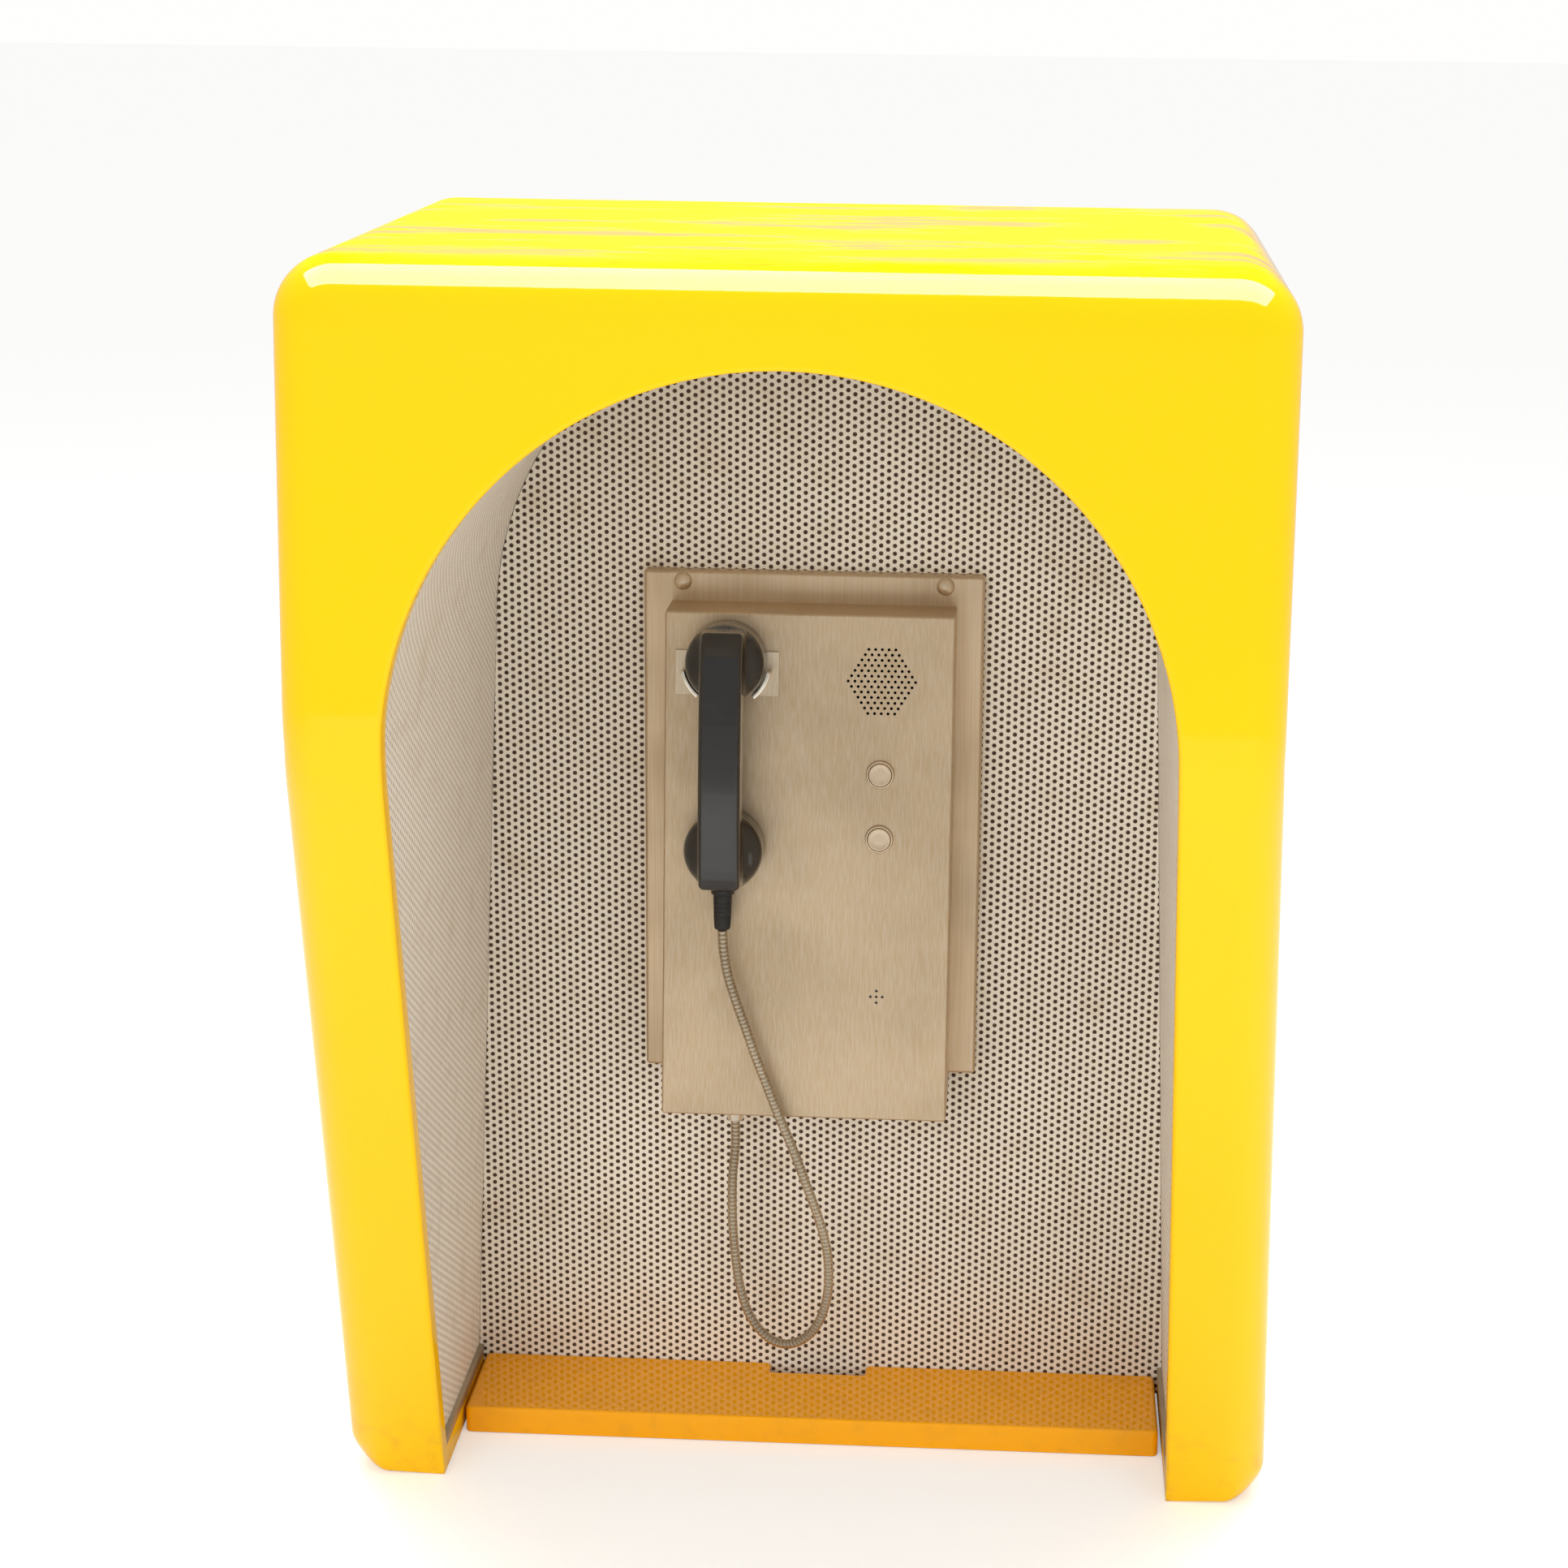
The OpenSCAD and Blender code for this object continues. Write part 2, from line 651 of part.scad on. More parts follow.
// ---- Cord and gland --------------------------------------------------------------------
module cord_gland() {
    color("silver") translate([gland_x, gland_y, phone_z]) {
        translate([0, 0, -5]) cylinder(r = 9.5, h = 5, $fn = 6);
        translate([0, 0, -gland_l]) cylinder(r1 = 6, r2 = 8, h = gland_l - 5);
        cylinder(r = 5.9, h = steel_t + 8);
    }
}

module gland_nut() {
    color("silver") translate([gland_x, gland_y, phone_z + steel_t]) difference() {
        cylinder(r = 9.5, h = 4, $fn = 6);
        translate([0, 0, -1]) cylinder(r = 5.9, h = 6);
    }
}

// Points of the cord, from the handset's boot round the loop and up to the gland
cord_points = [[-69, 111, 413], [-68, 110, 398], [-65, 109, 380], [-59, 108, 360], [-52, 108, 340],
    [-44, 107, 317], [-35, 107, 293], [-25, 107, 267], [-14, 107, 240], [-4, 108, 212], [5, 109, 186],
    [11, 111, 162], [13, 114, 138], [11, 118, 114], [4, 123, 92], [-8, 129, 76], [-23, 135, 69],
    [-38, 141, 73], [-51, 146, 88], [-59, 150, 111], [-63, 152, 139], [-65, 153, 168], [-65, 154, 198],
    [-63, 154.5, 224], [-63, 154.5, 247]];

function unit(v) = v / norm(v);
function curve_point(p, i, t) = let (n = len(p) - 1, a = p[max(i - 1, 0)], b = p[i], c = p[i + 1],
    d = p[min(i + 2, n)])
    0.5 * (2 * b + (c - a) * t + (2 * a - 5 * b + 4 * c - d) * t * t + (3 * b - 3 * c + d - a) * t * t * t);
function curve(p, steps) = concat([for (i = [0:len(p) - 2], k = [0:steps - 1]) curve_point(p, i, k / steps)],
    [p[len(p) - 1]]);

module tube(path, r, sides) {
    n = len(path);
    ahead = [for (i = [0:n - 1]) unit(path[min(i + 1, n - 1)] - path[max(i - 1, 0)])];
    points = [for (i = [0:n - 1]) let (u = unit(cross(ahead[i], [0, 1, 0])), w = cross(ahead[i], u))
        each [for (k = [0:sides - 1]) path[i] + r * (cos(360 * k / sides) * u + sin(360 * k / sides) * w)]];
    walls = [for (i = [0:n - 2], k = [0:sides - 1]) let (m = (k + 1) % sides)
        each [[i * sides + k, i * sides + m, (i + 1) * sides + k],
            [(i + 1) * sides + k, i * sides + m, (i + 1) * sides + m]]];
    polyhedron(points, concat(walls, [[for (k = [sides - 1:-1:0]) k]],
        [[for (k = [0:sides - 1]) (n - 1) * sides + k]]), convexity = 6);
}

module armoured_cord() {
    color("silver") tube(curve(cord_points, 2), cord_d / 2, 10);
}

// ---- Handset ------------------------------------------------------------------------------
module at_ear(n = 0) on_panel(handset_x, ear_v, handset_n + n) children();
module at_mouth(n = 0) on_panel(handset_x, ear_v - cup_step, handset_n + n) children();

// A cap: a shallow dish whose grille faces the panel
module cap_form() rotate_extrude() polygon([[0, 1.5], [cup_r - 6, 1.5], [cup_r - 4, 0], [cup_r - 1.5, 0],
    [cup_r, 1.5], [cup_r, cap_t], [cup_r - 3, cap_t], [cup_r - 3, 3.5], [0, 3.5]]);

module cup_holes()
    for (ring = [0:2], k = [0:max(1, ring * 6) - 1])
        rotate([0, 0, k * 60 / max(1, ring)]) translate([ring * 6, 0, 0]) cylinder(r = 1.2, h = 8, $fn = 16);

module ear_cap() {
    color("black") at_ear() difference() {
        cap_form();
        cup_holes();
    }
}
module mouth_cap() {
    color("black") difference() {
        at_mouth() cap_form();
        at_mouth() cup_holes();
        boot_seat();
    }
}

module receiver_capsule() {
    color("gray") at_ear(3.8) cylinder(r = cup_r - 8, h = 9);
}
module transmitter_capsule() {
    color("gray") at_mouth(3.8) cylinder(r = cup_r - 8, h = 9);
}

// A cup: a domed bowl that is open towards its cap
module cup_form() rotate_extrude() difference() {
    polygon(concat([[0, cap_t], [cup_r, cap_t]],
        [for (a = [0:10:90]) [cup_r - 16 + 16 * cos(a), cap_t + cup_t - 12 + 12 * sin(a)]],
        [[0, cap_t + cup_t]]));
    translate([0, cap_t - 1]) square([cup_r - 5, 8]);
}

// The handle's side outline: v up from the mouth cup's centre, n outwards from the panel
function bow(s) = 5 * (1 - pow(2 * s - 1, 2));
module handle_side() polygon(concat(
    [for (s = [0:0.1:1]) [-cup_r + 1 + s * (cup_step + 2 * cup_r - 14), handle_n + handle_t + bow(s)]],
    [[cup_step + cup_r - 8, handle_n + handle_t - 6], [cup_step + cup_r - 6, handle_n - 8],
     [cup_step - 16, handle_n - 9]],
    [for (s = [1:-0.1:0]) [16 + s * (cup_step - 32), handle_n - 3 + bow(s)]],
    [[16, handle_n - 9], [-cup_r + 1, handle_n - 14]]));

module handset_grip() {
    color("black") difference() {
        union() {
            at_ear() cup_form();
            at_mouth() cup_form();
            on_panel(handset_x, ear_v - cup_step) rotate([90, 0, 90])
                translate([0, 0, -handle_w / 2]) linear_extrude(handle_w) handle_side();
        }
        boot_seat();
    }
}

// The boot points down from the rim of the mouth cup, and its collar is seated in it
module at_boot() on_panel(handset_x, ear_v - cup_step - cup_r, boot_n) rotate([90, 0, 0]) children();
module boot_seat() at_boot() translate([0, 0, -seat_d]) cylinder(r = collar_r + 0.1, h = seat_d + collar_t);

module handset_boot() {
    color("black") at_boot() {
        translate([0, 0, -seat_d]) cylinder(r = collar_r, h = seat_d + collar_t);
        translate([0, 0, collar_t]) cylinder(r1 = sleeve_r, r2 = sleeve_r - 1, h = boot_l);
    }
}

hood_shell();
back_board();
wool_back();
wool_left();
wool_right();
wool_crown_left();
wool_crown_right();
lining_back();
lining_wrap();
lining_trims();
board_screws();
shelf();
shelf_brackets();
shelf_screws();
plate_spacers();
phone_back_plate();
plate_screws();
phone_housing();
housing_screws();
speaker();
speaker_gasket();
speaker_studs();
mic_holder();
mic_capsule();
upper_button_cap();
lower_button_cap();
button_barrels();
button_nuts();
button_switches();
circuit_board();
board_standoffs();
transformer();
terminal_block();
cradle_plate();
cradle_horns();
hook_bracket();
hook_pin();
hook_lever();
hook_switch();
cord_gland();
gland_nut();
armoured_cord();
handset_grip();
ear_cap();
mouth_cap();
receiver_capsule();
transmitter_capsule();
handset_boot();
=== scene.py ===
"""Looks of a yellow acoustic telephone hood with a steel help telephone inside.

Sizes in the classes are in millimetres, as in the part's source, and meshes are scaled to metres when they are placed.
"""

import logging
import math
from dataclasses import dataclass, field
from enum import Enum
from typing import Callable, Iterable, Mapping, Sequence

import bmesh
import bpy
import numpy as np
from mathutils import Matrix, Vector


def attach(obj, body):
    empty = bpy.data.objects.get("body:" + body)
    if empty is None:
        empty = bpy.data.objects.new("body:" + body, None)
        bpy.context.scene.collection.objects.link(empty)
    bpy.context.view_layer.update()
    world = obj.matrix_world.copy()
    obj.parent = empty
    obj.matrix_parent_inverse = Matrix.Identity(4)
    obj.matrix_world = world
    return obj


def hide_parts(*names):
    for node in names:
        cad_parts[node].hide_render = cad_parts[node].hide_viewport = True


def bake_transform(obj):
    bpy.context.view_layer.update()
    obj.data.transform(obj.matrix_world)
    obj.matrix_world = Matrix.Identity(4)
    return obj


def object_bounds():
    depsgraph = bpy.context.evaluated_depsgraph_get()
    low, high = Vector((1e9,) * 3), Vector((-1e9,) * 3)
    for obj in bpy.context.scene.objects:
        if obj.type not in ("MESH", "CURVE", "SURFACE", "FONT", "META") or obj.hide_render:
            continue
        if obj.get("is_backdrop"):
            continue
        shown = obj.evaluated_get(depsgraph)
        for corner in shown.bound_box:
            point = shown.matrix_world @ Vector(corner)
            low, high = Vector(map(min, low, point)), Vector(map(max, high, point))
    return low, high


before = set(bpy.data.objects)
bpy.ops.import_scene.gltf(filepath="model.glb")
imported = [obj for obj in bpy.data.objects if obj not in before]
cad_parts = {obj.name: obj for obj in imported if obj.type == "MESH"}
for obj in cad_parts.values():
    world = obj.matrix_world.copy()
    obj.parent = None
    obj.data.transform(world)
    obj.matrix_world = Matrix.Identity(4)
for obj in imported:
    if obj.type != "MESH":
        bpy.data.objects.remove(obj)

LOG = logging.getLogger("hood")
MM = 0.001
ROOT = "root"
HANDSET = "handset"
Colour = tuple[float, float, float]


def srgb(red: float, green: float, blue: float) -> Colour:
    """Linear colour of an sRGB one given from 0 to 255."""
    return tuple(
        c / 12.92 if c <= 0.04045 else ((c + 0.055) / 1.055) ** 2.4
        for c in (red / 255, green / 255, blue / 255)
    )


# ---- Shader values -------------------------------------------------------------------


class Sig:
    """A socket in a node tree, with Python's operators.

    Numbers go through Math nodes, vectors through Vector Math and colours through Mix.
    """

    def __init__(self, tree: "Tree", socket: bpy.types.NodeSocket) -> None:
        """Wraps one output socket of a tree."""
        self.tree = tree
        self.socket = socket

    def _apply(self, operation: str, first: object, second: object) -> "Sig":
        """One operation on two values, by the node that suits them.

        Args:
            operation: ADD, SUBTRACT, MULTIPLY or DIVIDE, or any Math operation on numbers.
            first: Left value.
            second: Right value.

        Returns:
            The node's result.
        """
        kinds = {x.socket.type for x in (first, second) if isinstance(x, Sig)}
        if "VECTOR" in kinds:
            sides = [x if isinstance(x, (Sig, tuple)) else (x, x, x) for x in (first, second)]
            return self.tree.node("VectorMath", {"operation": operation}, {0: sides[0], 1: sides[1]})
        if "RGBA" in kinds:
            return self.tree.mix(1.0, first, second, operation)
        return self.tree.node("Math", {"operation": operation}, {0: first, 1: second})

    def __add__(self, other: object) -> "Sig":
        """Sum."""
        return self._apply("ADD", self, other)

    __radd__ = __add__

    def __sub__(self, other: object) -> "Sig":
        """Difference."""
        return self._apply("SUBTRACT", self, other)

    def __rsub__(self, other: object) -> "Sig":
        """Difference from a number or vector on the left."""
        return self._apply("SUBTRACT", other, self)

    def __mul__(self, other: object) -> "Sig":
        """Product."""
        return self._apply("MULTIPLY", self, other)

    __rmul__ = __mul__

    def __truediv__(self, other: object) -> "Sig":
        """Quotient."""
        return self._apply("DIVIDE", self, other)

    def __rtruediv__(self, other: object) -> "Sig":
        """Quotient with a number or vector on the left."""
        return self._apply("DIVIDE", other, self)

    def __pow__(self, other: object) -> "Sig":
        """Power of a number."""
        return self._apply("POWER", self, other)

    def lowest(self, other: object) -> "Sig":
        """The smaller of two numbers."""
        return self._apply("MINIMUM", self, other)

    def step(self, start: float, end: float) -> "Sig":
        """Smooth step of a number, from 0 at start to 1 at end."""
        return self.tree.node(
            "MapRange", {"interpolation_type": "SMOOTHSTEP"}, {"Value": self, "From Min": start, "From Max": end}
        )

    def part(self, axis: str) -> "Sig":
        """One component, X, Y or Z, of a vector."""
        return self.tree.node("SeparateXYZ", {}, {0: self}, axis)

    def length(self) -> "Sig":
        """Length of a vector."""
        return self.tree.node("VectorMath", {"operation": "LENGTH"}, {0: self}, "Value")


class Tree:
    """Nodes of a material or of the world."""

    def __init__(self, owner: bpy.types.Material | bpy.types.World | str) -> None:
        """Starts an empty node tree.

        Args:
            owner: The world, a material, or the name of a new material.
        """
        self.owner = bpy.data.materials.new(owner) if isinstance(owner, str) else owner
        self.owner.use_nodes = True
        self.nodes = self.owner.node_tree.nodes
        self.links = self.owner.node_tree.links
        self.nodes.clear()

    def node(
        self,
        kind: str,
        settings: Mapping[str, object] | None = None,
        inputs: Mapping[object, object] | None = None,
        output: object = 0,
    ) -> Sig:
        """Adds one node of any type.

        Args:
            kind: The node's type without its ShaderNode prefix.
            settings: Properties set before the sockets; "stops" are a ramp's positions and colours.
            inputs: Values or links by socket name or index.
            output: Name or index of the socket that is returned.

        Returns:
            That output.
        """
        made = self.nodes.new("ShaderNode" + kind)
        for name, value in (settings or {}).items():
            if name == "stops":
                ramp = made.color_ramp.elements
                while len(ramp) < len(value):
                    ramp.new(0.5)
                for element, (position, colour) in zip(ramp, value):
                    element.position = position
                    element.color = (*colour, 1.0)
            else:
                setattr(made, name, value)
        for name, value in (inputs or {}).items():
            socket = made.inputs[name]
            if isinstance(value, Sig):
                self.links.new(value.socket, socket)
            elif isinstance(value, tuple) and socket.type == "RGBA":
                socket.default_value = (*value, 1.0)
            else:
                socket.default_value = value
        return Sig(self, made.outputs[output])

    def mix(self, factor: object, first: object, second: object, blend: str = "MIX") -> Sig:
        """Mixes two colours.

        Args:
            factor: Share of the second one.
            first: Colour or link.
            second: Colour or link.
            blend: Blend type of the Mix node.

        Returns:
            The mixed colour.
        """
        grey = [(x, x, x) if isinstance(x, (int, float)) else x for x in (first, second)]
        return self.node(
            "Mix", {"data_type": "RGBA", "blend_type": blend}, {0: factor, 6: grey[0], 7: grey[1]}, 2
        )

    def place(self) -> Sig:
        """Object coordinates, in metres."""
        return self.node("TexCoord", {}, {}, "Object")

    def noise(self, scale: float, detail: float = 2.0, stretch: Colour = (1.0, 1.0, 1.0), rough: float = 0.5) -> Sig:
        """Soft noise from 0 to 1.

        Args:
            scale: Waves in a metre, about.
            detail: Finer layers.
            stretch: How the place is scaled along each axis first.
            rough: Strength of the finer layers.

        Returns:
            The noise value.
        """
        return self.node(
            "TexNoise", {}, {"Vector": self.place() * stretch, "Scale": scale, "Detail": detail, "Roughness": rough}
        )

    def bump(self, height: Sig, distance: float, strength: float = 1.0, under: Sig | None = None) -> Sig:
        """Normal bent by a height.

        Args:
            height: Height from 0 to 1.
            distance: Metres that 1 stands for.
            strength: Share of the effect.
            under: Normal that it starts from.

        Returns:
            The bent normal.
        """
        inputs = {"Height": height, "Distance": distance, "Strength": strength}
        if under is not None:
            inputs["Normal"] = under
        return self.node("Bump", {}, inputs)

    def finish(self, **sockets: object) -> bpy.types.Material:
        """Ends the tree in a Principled shader.

        Args:
            **sockets: Its sockets, with _ for a space.

        Returns:
            The material.
        """
        shader = self.node("BsdfPrincipled", {}, {name.replace("_", " "): value for name, value in sockets.items()})
        self.end(shader)
        return self.owner

    def end(self, shader: Sig) -> None:
        """Links a shader to the output of the material or the world."""
        kind = "World" if isinstance(self.owner, bpy.types.World) else "Material"
        last = self.nodes.new("ShaderNodeOutput" + kind)
        self.links.new(shader.socket, last.inputs["Surface"])


# ---- Finishes ------------------------------------------------------------------------


@dataclass(frozen=True)
class Gelcoat:
    """Glossy moulded gelcoat with orange peel, a rippled roof and dust low down."""

    name: str
    colour: Colour
    deep: Colour
    dust: float = 0.25
    gloss: float = 1.35
    streaks: float = 0.75

    def make(self) -> bpy.types.Material:
        """The material."""
        t = Tree(self.name)
        cloud = t.noise(3.0, 3.0).step(0.35, 0.7)
        speck = t.noise(900.0, 1.0).step(0.66, 0.74)
        height = t.place().part("Z")
        low = 1.0 - height.step(0.0, 0.12)
        grime = t.noise(60.0, 5.0).step(0.48, 0.75) * low * self.dust
        colour = t.mix(cloud * 0.35, self.colour, self.deep)
        colour = t.mix(speck * 0.05, colour, srgb(255, 236, 150))
        colour = t.mix(grime, colour, srgb(150, 112, 58))
        up = t.node("NewGeometry", {}, {}, "Normal").part("Z").step(0.7, 0.95) * height.step(0.85, 0.92)
        ripple = t.noise(11.0, 3.0, (1.0, 3.2, 1.0), 0.6) * up
        matt = (1.0 - t.noise(10.0, 4.0, (0.6, 2.6, 1.0), 0.6).step(0.5, 0.62)) * up * self.streaks
        peel = t.noise(170.0, 2.0)
        normal = t.bump(peel, 0.00006, 1.0, t.bump(ripple, 0.012, 1.0))
        smudge = t.noise(14.0, 4.0).step(0.4, 0.75)
        scuff = t.noise(40.0, 3.0, (1.0, 1.0, 12.0)).step(0.62, 0.72)
        return t.finish(
            Base_Color=colour,
            Roughness=0.3 + smudge * 0.12 + grime * 0.4,
            Coat_Weight=1.0 - grime * 0.8 - scuff * 0.1 - matt,
            Coat_Roughness=0.045,
            Coat_IOR=self.gloss,
            Specular_IOR_Level=0.0,
            Normal=normal,
        )


class Lay(Enum):
    """How a perforated sheet's pattern is laid out."""

    FLAT = "flat"
    ROLLED = "rolled"


@dataclass(frozen=True)
class Perforated:
    """Powder-coated sheet with round holes in a staggered lattice; the holes are painted, dark as painted shade of the
    wool behind them or pale as painted light on their walls, with a painted wall ring inside each rim.
    """

    name: str
    lay: Lay
    sheet: Colour
    worn: Colour
    # Colour painted in the holes, as painted shade or as painted light on their walls; wall is the colour of the
    # painted ring inside each rim.
    painted_hole: Colour
    wall: Colour
    pitch: float = 0.006
    hole_r: float = 0.00168

    def make(self) -> bpy.types.Material:
        """The material."""
        t = Tree(self.name)
        if self.lay is Lay.FLAT:
            at = t.place()
            across, along = at.part("X"), at.part("Z")
        else:
            at = t.node("UVMap", {"uv_map": "sheet"}, {})
            across, along = at.part("Y"), at.part("X")
        wide, tall = self.pitch * math.sqrt(3), self.pitch
        gaps = []
        for shift in (0.0, 0.5):
            cell = t.node(
                "CombineXYZ",
                {},
                {
                    0: t.node("Math", {"operation": "WRAP"}, {0: across + wide * shift, 1: wide / 2, 2: -wide / 2}),
                    1: t.node("Math", {"operation": "WRAP"}, {0: along + tall * shift, 1: tall / 2, 2: -tall / 2}),
                },
            )
            gaps.append(cell.length())
        gap = gaps[0].lowest(gaps[1])
        land = gap.step(self.hole_r * 0.93, self.hole_r * 1.07)
        # Mask of a ring just inside each rim, painted in the wall colour as painted shading of the walls of the holes.
        inner = gap.step(self.hole_r * 0.62, self.hole_r * 0.95)
        tone = t.noise(4.0, 3.0).step(0.3, 0.7)
        # Noise that mottles the painted colour in the holes.
        shaded_fleece = t.noise(420.0, 2.0).step(0.3, 0.75)
        dust = t.noise(38.0, 4.0).step(0.5, 0.8) * 0.3
        sheet = t.mix(tone, self.sheet, self.worn)
        sheet = t.mix(dust, sheet, srgb(196, 168, 132))
        # Painted shade and light: the holes take their painted colour, mottled towards the painted wall colour.
        dark = t.mix(shaded_fleece * 0.6, self.painted_hole, self.wall)
        colour = t.mix(land, t.mix(inner * 0.7, dark, self.wall), sheet)
        grain = t.noise(1500.0, 1.0)
        rim = gap.step(self.hole_r * 0.75, self.hole_r * 1.25)
        normal = t.bump(rim, 0.0006, 0.8, t.bump(grain, 0.00003))
        return t.finish(Base_Color=colour, Roughness=0.92 - land * 0.42, Normal=normal, Specular_IOR_Level=0.35)


@dataclass(frozen=True)
class Metal:
    """Bare or plated metal with a brushed grain, finger smudges and fine pits."""

    name: str
    colour: Colour
    shade: Colour
    rough: float = 0.36
    grain: Colour = (900.0, 900.0, 14.0)
    depth: float = 0.000012
    smudge: float = 0.5

    def make(self) -> bpy.types.Material:
        """The material."""
        t = Tree(self.name)
        brush = t.noise(1.0, 2.0, self.grain)
        cloud = t.noise(9.0, 4.0).step(0.35, 0.72)
        spot = t.noise(34.0, 3.0, (1.0, 1.0, 0.5)).step(0.5, 0.8)
        colour = t.mix(cloud * self.smudge, self.colour, self.shade)
        colour = t.mix(brush.step(0.3, 0.75) * 0.16, colour, (1.0, 0.97, 0.9))
        return t.finish(
            Base_Color=colour,
            Metallic=0.94 - spot * 0.1,
            Roughness=self.rough + brush * 0.1 + cloud * 0.05 + spot * 0.05,
            Normal=t.bump(brush, self.depth),
        )


@dataclass(frozen=True)
class Moulded:
    """Moulded plastic or rubber with a fine grain, dust and hairline scratches."""

    name: str
    colour: Colour
    dusty: Colour
    rough: float = 0.16
    grain: float = 1400.0
    depth: float = 0.00001
    coat: float = 0.0

    def make(self) -> bpy.types.Material:
        """The material."""
        t = Tree(self.name)
        dust = t.noise(26.0, 5.0).step(0.45, 0.8)
        hair = t.noise(1.0, 2.0, (260.0, 260.0, 2200.0)).step(0.68, 0.74)
        colour = t.mix(dust * 0.3 + hair * 0.12, self.colour, self.dusty)
        return t.finish(
            Base_Color=colour,
            Roughness=self.rough + dust * 0.14 + hair * 0.1,
            Coat_Weight=self.coat - dust * self.coat * 0.4,
            Coat_Roughness=0.06,
            Normal=t.bump(t.noise(self.grain, 2.0), self.depth),
        )


@dataclass(frozen=True)
class Fibre:
    """Plywood or mineral wool: streaks of two tones along one axis."""

    name: str
    light: Colour
    dark: Colour
    stretch: Colour
    depth: float
    rough: float = 0.75

    def make(self) -> bpy.types.Material:
        """The material."""
        t = Tree(self.name)
        figure = t.noise(1.0, 6.0, self.stretch, 0.62)
        pores = t.noise(1.0, 2.0, tuple(6 * s for s in self.stretch)).step(0.55, 0.72)
        stain = t.noise(3.5, 3.0).step(0.4, 0.8)
        colour = t.node("ValToRGB", {"stops": ((0.32, self.dark), (0.55, self.light), (0.8, self.dark))}, {0: figure})
        colour = t.mix(pores * 0.5, colour, self.dark)
        colour = t.mix(stain * 0.3, colour, tuple(0.6 * c for c in self.dark))
        return t.finish(
            Base_Color=colour,
            Roughness=self.rough + pores * 0.1,
            Normal=t.bump(figure + pores * 0.5, self.depth),
            Specular_IOR_Level=0.3,
        )


STEEL_BASE, STEEL_SHADE = srgb(206, 182, 148), srgb(176, 154, 122)
YELLOW = Gelcoat("gelcoat_yellow", srgb(255, 198, 0), srgb(254, 191, 0))
# The shelf's gelcoat is the hood's yellow painted deeper orange, as painted shade for the shelf sitting low inside the
# hood.
SHELF_YELLOW_SHADED = Gelcoat("gelcoat_shelf", srgb(255, 174, 0), srgb(250, 164, 0), 0.1, 1.5, 0.0)
# Back lining: holes painted dark as painted shade of the wool behind, with a mid-tone painted wall ring.
LINING_BACK = Perforated(
    "perforated_back", Lay.FLAT, srgb(240, 232, 216), srgb(230, 220, 204), srgb(58, 44, 34), srgb(112, 92, 74)
)
# Rolled side lining: holes and their wall rings painted pale, as painted light on the walls of the holes seen
# obliquely.
LINING_WRAP = Perforated(
    "perforated_side", Lay.ROLLED, srgb(250, 244, 232), srgb(244, 236, 222), srgb(196, 180, 160), srgb(226, 212, 196)
)
SATIN = Metal("steel_satin", STEEL_BASE, STEEL_SHADE)
TRIM = Metal("trim_satin", srgb(190, 180, 160), srgb(150, 138, 118), 0.42)
POLISHED = Metal("steel_polished", srgb(236, 228, 212), srgb(210, 200, 184), 0.14, (300.0, 300.0, 300.0), 0.000004, 0.3)
BUTTON = Metal("steel_button", srgb(216, 196, 166), srgb(196, 174, 144), 0.3, (500.0, 500.0, 500.0), 0.000004, 0.4)
CRADLE = Metal("steel_cradle", srgb(232, 214, 186), srgb(180, 160, 132), 0.24, (900.0, 900.0, 14.0), 0.000006, 0.6)
ZINC = Metal("zinc_plated", srgb(196, 196, 190), srgb(150, 150, 148), 0.4, (160.0, 160.0, 160.0), 0.00002, 0.8)
ARMOUR = Metal("armour_steel", srgb(196, 182, 158), srgb(140, 124, 102), 0.22, (700.0, 700.0, 700.0), 0.00001, 0.6)
CAPSULE = Metal("capsule_aluminium", srgb(170, 170, 168), srgb(120, 120, 120), 0.45)
BLACK = Moulded("handset_black", srgb(20, 18, 17), srgb(70, 62, 54), 0.14, 900.0, 0.000006, 0.6)
RUBBER = Moulded("rubber_black", srgb(24, 23, 22), srgb(74, 68, 60), 0.55, 700.0, 0.00003)
CONE = Moulded("speaker_cone", srgb(20, 19, 18), srgb(52, 48, 44), 0.7, 500.0, 0.00004)
CIRCUIT = Moulded("circuit_green", srgb(28, 96, 58), srgb(70, 120, 80), 0.4, 600.0, 0.00002)
CORE = Moulded("transformer_lacquer", srgb(52, 50, 52), srgb(90, 84, 78), 0.35, 500.0, 0.00003)
PLYWOOD = Fibre("plywood_sealed", srgb(205, 168, 118), srgb(150, 112, 70), (26.0, 10.0, 3.2), 0.0003)
WOOL = Fibre("mineral_wool", srgb(196, 180, 120), srgb(146, 130, 84), (260.0, 60.0, 90.0), 0.0012, 0.95)

SLOT_FINISH = {
    "yellow_grp": YELLOW,
    "board_ply": PLYWOOD,
    "mineral_wool": WOOL,
    "perforated_lining": LINING_BACK,
    "trim_strip": TRIM,
    "zinc_steel": ZINC,
    "satin_steel": SATIN,
    "bright_steel": POLISHED,
    "cord_armour": ARMOUR,
    "black_plastic": BLACK,
    "black_rubber": RUBBER,
    "capsule_metal": CAPSULE,
    "circuit_green": CIRCUIT,
    "transformer_core": CORE,
}
_MADE: dict[str, bpy.types.Material] = {}


def material_of(finish: object) -> bpy.types.Material:
    """The material of a finish, made once.

    Args:
        finish: Any of the finishes above.

    Returns:
        Its material.
    """
    if finish.name not in _MADE:
        _MADE[finish.name] = finish.make()
    return _MADE[finish.name]


# ---- Shapes --------------------------------------------------------------------------


